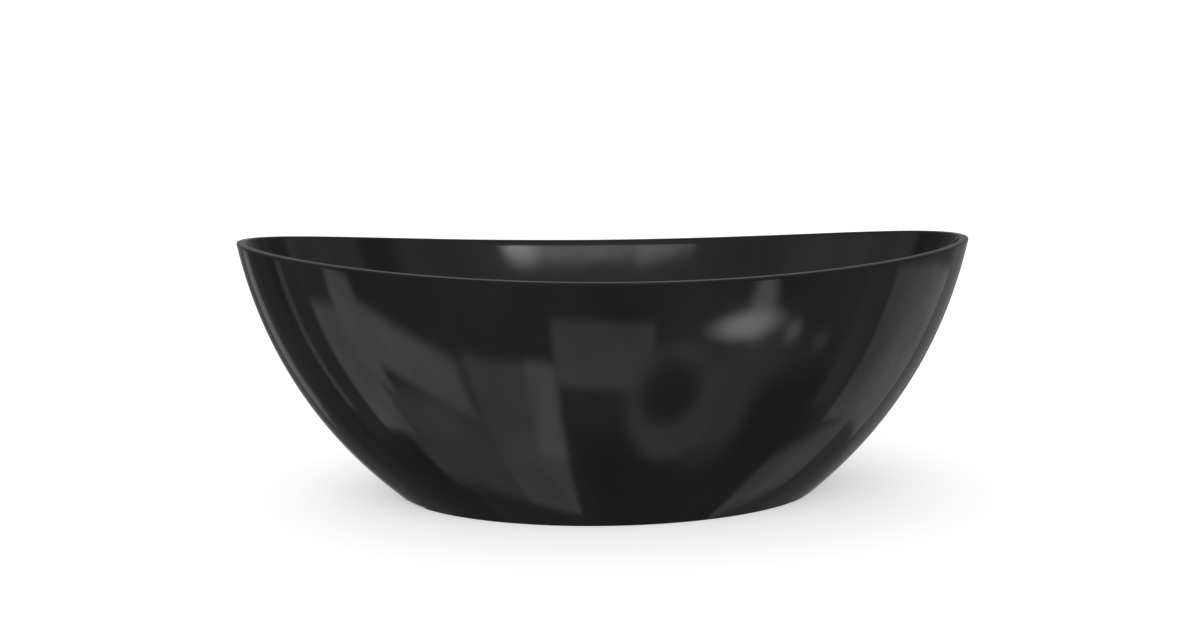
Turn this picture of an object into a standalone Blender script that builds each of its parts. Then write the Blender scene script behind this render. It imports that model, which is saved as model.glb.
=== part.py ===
"""Freestanding double-ended bathtub, built as it comes apart on a bench.

A glossy acrylic basin with a slim level rim hangs inside a flared outer skirt. Under the basin are
its base board, two steel leg bars with four screw-down feet, the click-clack waste with its trap and
outlet pipe, and the overflow with its hose. The origin is on the floor under the middle of the tub,
+X runs along it and +Z is up. The overflow is on the -Y side. All lengths are in metres.
"""

import math

import bmesh
import bpy
import numpy as np
from mathutils import Matrix, Vector

# ---- Outside form --------------------------------------------------------------------------------
LENGTH = 1.700  # over the rim
WIDTH = 0.800  # over the rim
SIDE_HEIGHT = 0.545  # floor to rim, middle of a side
END_RISE = 0.050  # the rim climbs by this much to each end
FOOT_LENGTH = 1.010
FOOT_WIDTH = 0.620
FLARE_REACH = 0.81  # the side profile is one curve from foot to rim: its middle handle lies at
FLARE_RISE = 0.395  # this share of the outward reach and this share of the height
SKIRT_WALL = 0.005

# ---- Basin ---------------------------------------------------------------------------------------
RIM_WIDTH = 0.020
RIM_DEPTH = 0.008
BASIN_WALL = 0.007
BASIN_FLOOR_LENGTH = 0.940
BASIN_FLOOR_WIDTH = 0.430
BASIN_REACH = 0.55  # handle of the inner wall's curve, as for the outside
BASIN_RISE = 0.03
FLOOR_FALL = 0.006  # from the floor's edge to the waste
RECESS_MARGIN = 0.003  # round the waste flange
RECESS_TAPER = 0.00125
RECESS_DEPTH = 0.005
WASTE_LAND = 0.008  # laminate under the recess
TAIL_CLEARANCE = 0.0025  # round the waste's tail

# ---- Base board, leg bars and skirt foot ---------------------------------------------------------
BAR_HEIGHT = 0.0814  # floor to the underside of the leg bars
BAR_SIZE = 0.025
BAR_WALL = 0.002
BAR_LENGTH = 0.360
BAR_PLACE = 0.300  # each side of the middle
BAR_CAP_THICKNESS = 0.002
BAR_CAP_DEPTH = 0.010
BOARD_THICKNESS = 0.015
BOARD_MARGIN = 0.020  # from the floor's edge to the board's edge
CUTOUT_CLEARANCE = 0.006  # past the hose nut
SCREW_PLACE = 0.100  # each side of the middle, along a leg bar
SCREW_RADIUS = 0.0024
SCREW_HEAD_RADIUS = 0.0046
SCREW_HEAD_HEIGHT = 0.003
SCREW_BITE = 0.0115  # depth in the board
SCREW_POINT = 0.004
FOOT_RING_BASE = 0.004
FOOT_RING_HEIGHT = 0.025
FOOT_RING_WIDTH = 0.012
BOND = 0.001  # bed of adhesive between the ring and the skirt

# ---- Screw-down feet -----------------------------------------------------------------------------
FOOT_PLACE = 0.150  # each side of the middle, along a leg bar
FOOT_TRAVEL = 0.014  # eight turns of the stud
PAD_RADIUS = 0.025
PAD_THICKNESS = 0.005
BOSS_RADIUS = 0.0125
BALL_RADIUS = 0.0075
BALL_FLOOR = 0.004  # rubber under the ball
NECK_RADIUS = 0.0042
STUD_RADIUS = 0.0059
STUD_SPARE = 0.0045  # left above the underside of the bar with the foot right down
COLLAR_FLATS = 0.017
COLLAR_HEIGHT = 0.008
COLLAR_LIFT = 0.001  # above the ball
PAD_THROAT = 0.0014  # round the neck
PAD_LIP = 0.0015
NUT_FLATS = 0.018
WELD_NUT_HEIGHT = 0.010
LOCK_NUT_HEIGHT = 0.006

# ---- Waste and plug ------------------------------------------------------------------------------
FLANGE_RADIUS = 0.035
FLANGE_LIP = 0.0025
FLANGE_BEVEL = 0.001
FLANGE_THICKNESS = 0.003
SEAT_THICKNESS = 0.0015
TAIL_RADIUS = 0.0235
TAIL_BORE = 0.020
TAIL_DROP = 0.0261  # below the underside of the flange
SPIDER_HEIGHT = 0.005
SPIDER_WIDTH = 0.005
SPIDER_LIFT = 0.006  # above the end of the tail
HUB_RADIUS = 0.0108
TOP_SEAL_THICKNESS = 0.0015
BOTTOM_SEAL_THICKNESS = 0.003
PLUG_RADIUS = 0.0295
PLUG_EDGE = 0.0023
PLUG_DOME = 0.003
PLUG_BOSS_RADIUS = 0.010
PLUG_BOSS_DROP = 0.0117
PLUG_CROWN = 0.0024  # metal over the stem, below the underside of the cap
PLUG_SEAL_RADIUS = 0.0285
PLUG_SEAL_THICKNESS = 0.002
STEM_RADIUS = 0.004
STEM_FOOT_RADIUS = 0.006
STEM_FOOT_HEIGHT = 0.003
CLICKER_RADIUS = 0.008
CLICKER_BORE = 0.0065
CLICKER_SHOULDER = 0.003
CLICKER_FLOOR = 0.002
CLICKER_LIP = 0.0023
CLICKER_DROP = 0.0253  # below its shoulder
SPRING_RADIUS = 0.0048
SPRING_WIRE = 0.0005
SPRING_LENGTH = 0.0082  # with the plug down
SPRING_TURNS = 5

# ---- Trap and outlet -----------------------------------------------------------------------------
TRAP_COLLAR_RADIUS = 0.040
TRAP_COLLAR_HEIGHT = 0.006
TRAP_RADIUS = 0.034
TRAP_WALL = 0.0035
CHAMBER_DROP = 0.021  # from the end of the tail to the floor under it
PARTITION = 0.003
OUTLET_HEADROOM = 0.0025  # between the partition and the outlet's bore
DIP_BORE = 0.018
DIP_WALL = 0.0025
CUP_CLEARANCE = 0.008  # above the floor
CUP_FLOOR = 0.004
CUP_WALL = 0.004
CUP_LEDGE = 0.0095  # above the inside of the cup
CUP_SEAL_THICKNESS = 0.002
CUP_EASE = 0.003  # bevel round its base
CUP_TO_OUTLET = 0.002
DIP_ABOVE_CUP = 0.0075
OUTLET_BORE = 0.0165
OUTLET_WALL = 0.0028
OUTLET_SOCKET_WALL = 0.003
OUTLET_REACH = 0.062  # from the middle of the trap to the end of its socket
OUTLET_SOCKET_DEPTH = 0.012
OUTLET_NUT_WALL = 0.0035
OUTLET_NUT_LENGTH = 0.022
OUTLET_NUT_LIP = 0.004
OUTLET_SEAL_LENGTH = 0.004
ELBOW_RUN = 0.110  # from the middle of the trap to the start of the bend
ELBOW_STRAIGHT = 0.011  # of pipe below the bend
ELBOW_END = 0.012  # above the floor

# ---- Overflow ------------------------------------------------------------------------------------
OVERFLOW_DROP = 0.100  # below the rim
OVERFLOW_HOLE_RADIUS = 0.024
PLATE_RADIUS = 0.0325
PLATE_WALL = 0.002
PLATE_HEIGHT = 0.0055
PLATE_DOME = 0.001
PLATE_SLOT_WIDTH = 0.026
PLATE_SLOT_HEIGHT = 0.003
GASKET_THICKNESS = 0.002
GASKET_WIDTH = 0.006
HOUSING_FLANGE = 0.0025
HOUSING_RADIUS = 0.0265
HOUSING_WALL = 0.0022
HOUSING_DEPTH = 0.015
HOUSING_BOSS_RADIUS = 0.0055
HOUSING_SPIGOT_END = 0.048  # below the middle of the overflow
HOUSING_SPIGOT_TOP = 0.006
OVERFLOW_SCREW_RADIUS = 0.0024
OVERFLOW_SCREW_HEAD = 0.0045
OVERFLOW_SCREW_LENGTH = 0.021
HOSE_RADIUS = 0.0095
SPIGOT_BORE = 0.007
SPIGOT_REACH = 0.060  # from the middle of the trap
HOSE_NUT_RADIUS = 0.013
HOSE_NUT_LENGTH = 0.018
HOSE_BEND = 0.085  # where it turns up from its level run
HOSE_LEAD = 0.020  # straight out of each end

# ---- Clearances and smoothness -------------------------------------------------------------------
GAP = 0.0003  # between pieces that seat or are bonded
THREAD_GAP = 0.0004  # round a screwed piece
SLIDE_GAP = 0.0005  # round the plug's stem
AROUND = 56  # points round the tub
UP_WALL = 8  # rings up each face of a wall
FLOOR_RINGS = 3
TURN_STEPS = 20
SMALL_STEPS = 12
CHAMFER = 0.001
PAST = 0.01  # how far a cutter runs past the face it opens

# ---- Heights and places that follow --------------------------------------------------------------
RECESS_RADIUS = FLANGE_RADIUS + RECESS_MARGIN
WASTE_HOLE_RADIUS = TAIL_RADIUS + TAIL_CLEARANCE
HOUSING_FLANGE_RADIUS = OVERFLOW_HOLE_RADIUS + GASKET_WIDTH
BOARD_CUTOUT_RADIUS = SPIGOT_REACH + HOSE_NUT_LENGTH / 2 + CUTOUT_CLEARANCE
BAR_TOP = BAR_HEIGHT + BAR_SIZE
BOARD_BASE = BAR_TOP + GAP
UNDERSIDE = BOARD_BASE + BOARD_THICKNESS + GAP
RECESS_FLOOR = UNDERSIDE + WASTE_LAND
FLOOR_LOW = RECESS_FLOOR + RECESS_DEPTH
FLOOR_EDGE = FLOOR_LOW + FLOOR_FALL
FLANGE_BASE = RECESS_FLOOR + GAP + TOP_SEAL_THICKNESS + GAP
FLANGE_TOP = FLANGE_BASE + FLANGE_THICKNESS
SEAT = FLANGE_BASE + SEAT_THICKNESS
TAIL_END = FLANGE_BASE - TAIL_DROP
HUB_BASE = TAIL_END + SPIDER_LIFT
SHOULDER_BASE = HUB_BASE + SPIDER_HEIGHT + GAP
PLUG_SEAL_BASE = SEAT + GAP
PLUG_BASE = PLUG_SEAL_BASE + PLUG_SEAL_THICKNESS + GAP
TRAP_TOP = UNDERSIDE - GAP - BOTTOM_SEAL_THICKNESS - GAP
CHAMBER_FLOOR = TAIL_END - CHAMBER_DROP
PARTITION_BASE = CHAMBER_FLOOR - PARTITION
OUTLET_HEIGHT = PARTITION_BASE - OUTLET_BORE - OUTLET_HEADROOM
ELBOW_BEND = OUTLET_HEIGHT - ELBOW_END - ELBOW_STRAIGHT
PIPE_RADIUS = OUTLET_BORE + OUTLET_WALL
SOCKET_BORE = PIPE_RADIUS + THREAD_GAP
SOCKET_RADIUS = SOCKET_BORE + OUTLET_SOCKET_WALL
CUP_INSIDE = CUP_CLEARANCE + CUP_FLOOR
CUP_TOP = OUTLET_HEIGHT - SOCKET_RADIUS - CUP_TO_OUTLET
TRAP_END = CUP_INSIDE + CUP_LEDGE + GAP + CUP_SEAL_THICKNESS + GAP
DIP_END = CUP_INSIDE + DIP_ABOVE_CUP
SPIGOT_HEIGHT = (CHAMBER_FLOOR + TAIL_END) / 2 - CHAMFER
BALL_HEIGHT = BALL_FLOOR + BALL_RADIUS
OVERFLOW_HEIGHT = SIDE_HEIGHT - OVERFLOW_DROP
FRONT = -math.pi / 2  # angle round the tub of the overflow


# ---- Scene, collections and finishes -------------------------------------------------------------
for leftover in list(bpy.data.objects):
    bpy.data.objects.remove(leftover, do_unlink=True)


def new_collection(name):
    collection = bpy.data.collections.new(name)
    bpy.context.scene.collection.children.link(collection)
    return collection


PARTS = new_collection("freestanding_bathtub")
CUTTERS = new_collection("cutters")
CUTTERS.hide_render = True


def new_material(name, colour, roughness, metallic=0.0):
    material = bpy.data.materials.new(name)
    material.use_nodes = True
    shader = material.node_tree.nodes["Principled BSDF"]
    shader.inputs["Base Color"].default_value = (*colour, 1.0)
    shader.inputs["Roughness"].default_value = roughness
    shader.inputs["Metallic"].default_value = metallic
    return material


ACRYLIC = new_material("black_acrylic", (0.006, 0.006, 0.007), 0.06)
STEEL = new_material("galvanised_steel", (0.50, 0.51, 0.52), 0.42, 1.0)
ZINC = new_material("zinc_plate", (0.62, 0.62, 0.58), 0.35, 1.0)
CHROME = new_material("chrome", (0.75, 0.76, 0.77), 0.06, 1.0)
BRASS = new_material("brass", (0.72, 0.52, 0.24), 0.28, 1.0)
RUBBER = new_material("black_rubber", (0.02, 0.02, 0.02), 0.75)
PLASTIC = new_material("grey_polypropylene", (0.35, 0.36, 0.37), 0.45)
BLACK_PLASTIC = new_material("black_polypropylene", (0.025, 0.025, 0.027), 0.5)
BOARD = new_material("sealed_plywood", (0.45, 0.31, 0.17), 0.65)


# ---- Making solids -------------------------------------------------------------------------------
def add_object(name, data, material, parent=None, at=(0, 0, 0)):
    obj = bpy.data.objects.new(name, data)
    if material:
        data.materials.clear()
        data.materials.append(material)
    PARTS.objects.link(obj)
    obj.parent = parent
    obj.location = at
    return obj


def add_empty(name, at):
    empty = bpy.data.objects.new(name, None)
    empty.location = at
    PARTS.objects.link(empty)
    return empty


def closed_loft(name, rings, material):
    """Solid through rings of points whose section closes on itself, each ring joined to the next."""
    bm = bmesh.new()
    loops = [[bm.verts.new(point) for point in ring] for ring in rings]
    for loop, following in zip(loops, loops[1:] + loops[:1]):
        for i, corner in enumerate(loop):
            j = (i + 1) % len(loop)
            bm.faces.new((corner, loop[j], following[j], following[i]))
    mesh = bpy.data.meshes.new(name)
    bm.to_mesh(mesh)
    bm.free()
    mesh.shade_smooth()
    mesh.set_sharp_from_angle(angle=math.radians(40))
    return add_object(name, mesh, material)


def turned(name, profile, material, parent=None, at=(0, 0, 0), ring=False, steps=TURN_STEPS):
    """Solid of revolution about Z. The profile of (radius, height) runs down the outer side."""
    count = len(profile)
    edges = [(i, i + 1) for i in range(count - 1)]
    if ring:
        edges.append((count - 1, 0))
    mesh = bpy.data.meshes.new(name)
    mesh.from_pydata([(radius, 0, height) for radius, height in profile], edges, [])
    obj = add_object(name, mesh, material, parent, at)
    screw = obj.modifiers.new("turn", "SCREW")
    screw.steps = screw.render_steps = steps
    screw.use_merge_vertices = True
    screw.merge_threshold = 0.0001
    return obj


def washer(inner, outer, base, top):
    """Profile of a flat ring, for turned() with ring=True."""
    return [(outer, top), (outer, base), (inner, base), (inner, top)]


def rod(name, radius, start, end, material=None, segments=TURN_STEPS):
    """Cylinder from one point to another."""
    start, end = Vector(start), Vector(end)
    bm = bmesh.new()
    bmesh.ops.create_cone(
        bm,
        cap_ends=True,
        segments=segments,
        radius1=radius,
        radius2=radius,
        depth=(end - start).length,
    )
    turn = Vector((0, 0, 1)).rotation_difference(end - start).to_matrix().to_4x4()
    bm.transform(Matrix.Translation((start + end) / 2) @ turn)
    mesh = bpy.data.meshes.new(name)
    bm.to_mesh(mesh)
    bm.free()
    return add_object(name, mesh, material)


def block(name, size, centre=(0, 0, 0), material=None):
    bm = bmesh.new()
    bmesh.ops.create_cube(bm, size=1)
    bm.transform(Matrix.Translation(centre) @ Matrix.Diagonal((*size, 1)))
    mesh = bpy.data.meshes.new(name)
    bm.to_mesh(mesh)
    bm.free()
    return add_object(name, mesh, material)


def combine(obj, other, operation):
    """Boolean with a helper solid, which then goes with the cutters."""
    boolean = obj.modifiers.new(f"{operation.lower()} {other.name}", "BOOLEAN")
    boolean.operation = operation
    boolean.object = other
    PARTS.objects.unlink(other)
    CUTTERS.objects.link(other)
    other.hide_render = True
    other.display_type = "WIRE"


def cut(obj, *cutters):
    for cutter in cutters:
        combine(obj, cutter, "DIFFERENCE")


def join(obj, *pieces):
    for piece in pieces:
        combine(obj, piece, "UNION")


def frozen(obj):
    """Mesh of the object with its modifiers applied; the object itself is taken away."""
    bpy.context.view_layer.update()
    mesh = bpy.data.meshes.new_from_object(obj.evaluated_get(bpy.context.evaluated_depsgraph_get()))
    mesh.name = obj.name
    bpy.data.objects.remove(obj)
    return mesh


def hexagon(across_flats):
    radius = across_flats / math.sqrt(3)
    return [(radius * math.cos(k * math.pi / 3), radius * math.sin(k * math.pi / 3)) for k in range(6)]


def circle(radius, points=SMALL_STEPS):
    steps = [2 * math.pi * k / points for k in range(points)]
    return [(radius * math.cos(a), radius * math.sin(a)) for a in steps]


def flat_outline(name, outlines, thickness):
    """Filled 2D curve, extruded both ways; an outline inside another leaves a hole."""
    curve = bpy.data.curves.new(name, "CURVE")
    curve.dimensions = "2D"
    curve.fill_mode = "BOTH"
    curve.extrude = thickness / 2
    for outline in outlines:
        spline = curve.splines.new("POLY")
        spline.points.add(len(outline) - 1)
        for point, (x, y) in zip(spline.points, outline):
            point.co = (x, y, 0, 1)
        spline.use_cyclic_u = True
    return curve


def path_curve(name, points, radius, sides_level, caps=True):
    """Round bar or hose along a list of points."""
    curve = bpy.data.curves.new(name, "CURVE")
    curve.dimensions = "3D"
    curve.bevel_depth = radius
    curve.bevel_resolution = sides_level
    curve.use_fill_caps = caps
    spline = curve.splines.new("POLY")
    spline.points.add(len(points) - 1)
    for point, place in zip(spline.points, points):
        point.co = (*place, 1)
    return curve


# ---- The two walls -------------------------------------------------------------------------------
def rim_height(angle):
    return SIDE_HEIGHT + END_RISE * np.cos(angle) ** 2


def curve_share(t, handle):
    """One coordinate of a quadratic curve from 0 to 1 whose middle handle is at a given share."""
    return 2 * t * (1 - t) * handle + t * t


def outside(angle, height):
    """Point of the outer face at an angle round the tub and a height above the floor."""
    share = height / rim_height(angle)
    bend = 1 - 2 * FLARE_RISE
    t = (np.sqrt(FLARE_RISE**2 + bend * share) - FLARE_RISE) / bend
    opened = curve_share(t, FLARE_REACH)
    x = (FOOT_LENGTH + (LENGTH - FOOT_LENGTH) * opened) / 2 * np.cos(angle)
    y = (FOOT_WIDTH + (WIDTH - FOOT_WIDTH) * opened) / 2 * np.sin(angle)
    return np.stack(np.broadcast_arrays(x, y, height), axis=-1)


def inside(angle, t):
    """Point of the basin's inner wall, from t = 0 at the floor's edge to t = 1 at the rim."""
    opened = curve_share(t, BASIN_REACH)
    rim_length, rim_width = LENGTH - 2 * RIM_WIDTH, WIDTH - 2 * RIM_WIDTH
    x = (BASIN_FLOOR_LENGTH + (rim_length - BASIN_FLOOR_LENGTH) * opened) / 2 * np.cos(angle)
    y = (BASIN_FLOOR_WIDTH + (rim_width - BASIN_FLOOR_WIDTH) * opened) / 2 * np.sin(angle)
    z = FLOOR_EDGE + (rim_height(angle) - FLOOR_EDGE) * curve_share(t, BASIN_RISE)
    return np.stack(np.broadcast_arrays(x, y, z), axis=-1)


def normal_of(surface, angle, level):
    """Unit normal of a wall, pointing away from the middle of the tub."""
    step = 1e-4
    along = surface(angle + step, level) - surface(angle - step, level)
    up = surface(angle, level + step) - surface(angle, level - step)
    normal = np.cross(along, up)
    return normal / np.linalg.norm(normal, axis=-1, keepdims=True)


def behind_outside(angle, height, depth):
    """Point at the same height, a depth inside the outer face measured square to it."""
    level = normal_of(outside, angle, height) * (1, 1, 0)
    return outside(angle, height) - depth * level / np.sum(level**2, axis=-1, keepdims=True)


def behind_basin(angle, t):
    """Point of the basin's hidden face, which is level under the floor."""
    point = inside(angle, t) + BASIN_WALL * normal_of(inside, angle, t)
    start = inside(angle, 0) + BASIN_WALL * normal_of(inside, angle, 0)
    point[..., 2] += (UNDERSIDE - start[..., 2]) * (1 - t) ** 2
    return point


ANGLES = np.linspace(0, 2 * math.pi, AROUND, endpoint=False)


def level_ring(half_x, half_y, height):
    return np.stack(
        np.broadcast_arrays(half_x * np.cos(ANGLES), half_y * np.sin(ANGLES), height), axis=-1
    )


def skirt_heights():
    """Height of the skirt's top at each angle, and of its rings of points."""
    top = rim_height(ANGLES) - RIM_DEPTH - GAP
    return [top * step / UP_WALL for step in range(UP_WALL + 1)]


def make_outer_shell():
    heights = skirt_heights()
    outer = [outside(ANGLES, height) for height in heights]
    inner = [behind_outside(ANGLES, height, SKIRT_WALL) for height in reversed(heights)]
    closed_loft("outer_shell", outer + inner, ACRYLIC)


def make_foot_ring():
    """Ply ring bonded inside the skirt's foot, against the lowest band of the skirt's flat facets."""
    first = skirt_heights()[1]

    def ring(height, depth):
        share = (height / first)[:, None]
        foot = behind_outside(ANGLES, np.zeros(AROUND), depth)
        return foot + share * (behind_outside(ANGLES, first, depth) - foot)

    near = SKIRT_WALL + BOND
    far = near + FOOT_RING_WIDTH
    low, high = FOOT_RING_BASE, FOOT_RING_BASE + FOOT_RING_HEIGHT
    rings = [ring(low, near), ring(high, near), ring(high, far), ring(low, far)]
    closed_loft("skirt_foot_ring", rings, BOARD)


def make_basin_shell():
    rim = rim_height(ANGLES)
    under_rim = rim - RIM_DEPTH
    levels = [step / UP_WALL for step in range(UP_WALL + 1)]

    hidden = [behind_basin(ANGLES, t) for t in levels[:-1]]
    last = behind_basin(ANGLES, 1.0)
    last[:, 2] = under_rim
    rim_rings = [outside(ANGLES, under_rim), outside(ANGLES, rim)]
    wall = [inside(ANGLES, t) for t in reversed(levels)]

    floor = []
    for step in range(1, FLOOR_RINGS + 1):
        share = step / FLOOR_RINGS
        half_x = BASIN_FLOOR_LENGTH / 2 * (1 - share) + RECESS_RADIUS * share
        half_y = BASIN_FLOOR_WIDTH / 2 * (1 - share) + RECESS_RADIUS * share
        floor.append(level_ring(half_x, half_y, FLOOR_EDGE - FLOOR_FALL * share))
    recess_base = RECESS_RADIUS - RECESS_TAPER
    recess = [
        level_ring(recess_base, recess_base, RECESS_FLOOR),
        level_ring(WASTE_HOLE_RADIUS, WASTE_HOLE_RADIUS, RECESS_FLOOR),
        level_ring(WASTE_HOLE_RADIUS, WASTE_HOLE_RADIUS, UNDERSIDE),
    ]
    basin = closed_loft(
        "basin_shell", hidden + [last] + rim_rings + wall + floor + recess, ACRYLIC
    )
    place = overflow_place()
    into, out = place @ Vector((0, 0, 2 * PAST)), place @ Vector((0, 0, -2 * PAST))
    cut(basin, rod("overflow_hole", OVERFLOW_HOLE_RADIUS, out, into))


# ---- Board, bars and feet ------------------------------------------------------------------------
def corners():
    """The four (x sign, y sign) corners, numbered anticlockwise from the rear right."""
    return [(1, 1), (-1, 1), (-1, -1), (1, -1)]


def make_base_board():
    half_x = BASIN_FLOOR_LENGTH / 2 - BOARD_MARGIN
    half_y = BASIN_FLOOR_WIDTH / 2 - BOARD_MARGIN
    top = BOARD_BASE + BOARD_THICKNESS
    board = closed_loft(
        "base_board",
        [
            level_ring(half_x, half_y, BOARD_BASE),
            level_ring(half_x, half_y, top),
            level_ring(BOARD_CUTOUT_RADIUS, BOARD_CUTOUT_RADIUS, top),
            level_ring(BOARD_CUTOUT_RADIUS, BOARD_CUTOUT_RADIUS, BOARD_BASE),
        ],
        BOARD,
    )
    for number, (side_x, side_y) in enumerate(corners(), 1):
        x, y = side_x * BAR_PLACE, side_y * SCREW_PLACE
        pilot_top = (x, y, BOARD_BASE + SCREW_BITE + GAP)
        pilot = rod(f"pilot_hole_{number}", SCREW_RADIUS + GAP, (x, y, BAR_TOP - PAST), pilot_top,
                    segments=SMALL_STEPS)
        cut(board, pilot)


def make_leg_bars():
    middle = (0, 0, BAR_SIZE / 2)
    hollow = BAR_SIZE - 2 * BAR_WALL
    bar = block("leg_bar", (BAR_SIZE, BAR_LENGTH, BAR_SIZE), middle)
    cut(bar, block("bar_hollow", (hollow, BAR_LENGTH + PAST, hollow), middle))
    for side in (1, -1):
        stud_hole = rod(f"stud_hole_{side}", STUD_RADIUS + 2 * GAP, (0, side * FOOT_PLACE, -PAST),
                        (0, side * FOOT_PLACE, BAR_SIZE / 2), segments=SMALL_STEPS)
        screw_hole = rod(f"screw_hole_{side}", SCREW_RADIUS + GAP, (0, side * SCREW_PLACE, -PAST),
                         (0, side * SCREW_PLACE, BAR_SIZE + PAST), segments=SMALL_STEPS)
        cut(bar, stud_hole, screw_hole)
    mesh = frozen(bar)
    add_object("leg_bar_left", mesh, STEEL, at=(-BAR_PLACE, 0, BAR_HEIGHT))
    add_object("leg_bar_right", mesh, STEEL, at=(BAR_PLACE, 0, BAR_HEIGHT))


def make_bar_caps():
    """Plastic plug: a square head with a spigot that fills the end of the bar."""
    bm = bmesh.new()
    bmesh.ops.create_cube(bm, size=1)
    bm.transform(
        Matrix.Translation((0, GAP + BAR_CAP_THICKNESS / 2, 0))
        @ Matrix.Diagonal((BAR_SIZE, BAR_CAP_THICKNESS, BAR_SIZE, 1))
    )
    inner_face = min(bm.faces, key=lambda face: face.calc_center_median().y)
    bmesh.ops.inset_individual(
        bm, faces=[inner_face], thickness=BAR_WALL + GAP, use_even_offset=True
    )
    spigot = bmesh.ops.extrude_discrete_faces(bm, faces=[inner_face])["faces"]
    bmesh.ops.translate(bm, verts=spigot[0].verts, vec=(0, -BAR_CAP_DEPTH, 0))
    mesh = bpy.data.meshes.new("leg_bar_cap")
    bm.to_mesh(mesh)
    bm.free()
    for number, (side_x, side_y) in enumerate(corners(), 1):
        place = (side_x * BAR_PLACE, side_y * BAR_LENGTH / 2, BAR_HEIGHT + BAR_SIZE / 2)
        cap = add_object(f"leg_bar_cap_{number}", mesh, BLACK_PLASTIC, at=place)
        cap.rotation_euler.z = 0 if side_y > 0 else math.pi


def make_bar_screws():
    length = BAR_SIZE + GAP + SCREW_BITE
    profile = [
        (0, length),
        (SCREW_RADIUS, length - SCREW_POINT),
        (SCREW_RADIUS, -GAP),
        (SCREW_HEAD_RADIUS, -GAP),
        (SCREW_HEAD_RADIUS, -SCREW_HEAD_HEIGHT * 0.6),
        (SCREW_HEAD_RADIUS * 0.6, -SCREW_HEAD_HEIGHT),
        (0, -SCREW_HEAD_HEIGHT),
    ]
    mesh = frozen(turned("leg_bar_screw", profile, ZINC, steps=12))
    for number, (side_x, side_y) in enumerate(corners(), 1):
        place = (side_x * BAR_PLACE, side_y * SCREW_PLACE, BAR_HEIGHT)
        add_object(f"leg_bar_screw_{number}", mesh, ZINC, at=place)


def pad_profile():
    """Rubber pad with a round socket that the ball of the stud snaps into."""
    socket = BALL_RADIUS + GAP
    throat = NECK_RADIUS + PAD_THROAT
    throat_angle = math.acos(throat / socket)
    arc = [(math.pi / 2 + throat_angle) * step / 5 - math.pi / 2 for step in range(6)]
    socket_side = [(socket * math.cos(a), BALL_HEIGHT + socket * math.sin(a)) for a in arc]
    socket_side[0] = (0, BALL_HEIGHT - socket)
    boss_top = BALL_HEIGHT + socket * math.sin(throat_angle) + PAD_LIP
    return socket_side + [
        (throat, boss_top),
        (BOSS_RADIUS - PAD_LIP, boss_top),
        (BOSS_RADIUS, boss_top - PAD_LIP),
        (BOSS_RADIUS, PAD_THICKNESS),
        (PAD_RADIUS - PAD_LIP, PAD_THICKNESS),
        (PAD_RADIUS, PAD_THICKNESS - PAD_LIP),
        (PAD_RADIUS, 0.0),
        (0, 0.0),
    ]


def stud_mesh():
    """Threaded stud with a ball end, a neck and a spanner collar, modelled from the ball's middle."""
    top = BAR_HEIGHT + FOOT_TRAVEL + STUD_SPARE - BALL_HEIGHT
    collar_base = BALL_RADIUS + COLLAR_LIFT
    neck_angle = math.acos(NECK_RADIUS / BALL_RADIUS)
    arc = [neck_angle - (neck_angle + math.pi / 2) * step / 7 for step in range(8)]
    ball = [(BALL_RADIUS * math.cos(a), BALL_RADIUS * math.sin(a)) for a in arc]
    ball[-1] = (0, -BALL_RADIUS)
    profile = [
        (0, top),
        (STUD_RADIUS - CHAMFER, top),
        (STUD_RADIUS, top - CHAMFER),
        (STUD_RADIUS, collar_base + COLLAR_HEIGHT / 2),
        (NECK_RADIUS, collar_base + COLLAR_HEIGHT / 2),
        *ball,
    ]
    stud = turned("foot_stud", profile, ZINC, steps=SMALL_STEPS)
    bm = bmesh.new()
    collar_radius = COLLAR_FLATS / math.sqrt(3)
    bmesh.ops.create_cone(bm, cap_ends=True, segments=6, radius1=collar_radius,
                          radius2=collar_radius, depth=COLLAR_HEIGHT)
    bm.transform(Matrix.Translation((0, 0, collar_base + COLLAR_HEIGHT / 2)))
    mesh = bpy.data.meshes.new("stud_collar")
    bm.to_mesh(mesh)
    bm.free()
    join(stud, add_object("stud_collar", mesh, None))
    return frozen(stud)


def make_feet():
    pad = frozen(turned("foot_pad", pad_profile(), RUBBER, steps=SMALL_STEPS + 4))
    stud = stud_mesh()
    bore = circle(STUD_RADIUS + THREAD_GAP)
    weld_nut = flat_outline("weld_nut", [hexagon(NUT_FLATS), bore], WELD_NUT_HEIGHT)
    lock_nut = flat_outline("lock_nut", [hexagon(NUT_FLATS), bore], LOCK_NUT_HEIGHT)
    weld_nut_middle = BAR_HEIGHT - GAP - WELD_NUT_HEIGHT / 2
    lock_nut_middle = BAR_HEIGHT - WELD_NUT_HEIGHT - 2 * GAP - LOCK_NUT_HEIGHT / 2
    for number, (side_x, side_y) in enumerate(corners(), 1):
        foot = add_empty(f"foot_{number}", (side_x * BAR_PLACE, side_y * FOOT_PLACE, 0))
        add_object(f"foot_pad_{number}", pad, RUBBER, foot)
        add_object(f"foot_stud_{number}", stud, ZINC, foot, (0, 0, BALL_HEIGHT))
        add_object(f"foot_weld_nut_{number}", weld_nut, STEEL, foot, (0, 0, weld_nut_middle))
        add_object(f"foot_lock_nut_{number}", lock_nut, ZINC, foot, (0, 0, lock_nut_middle))


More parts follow.
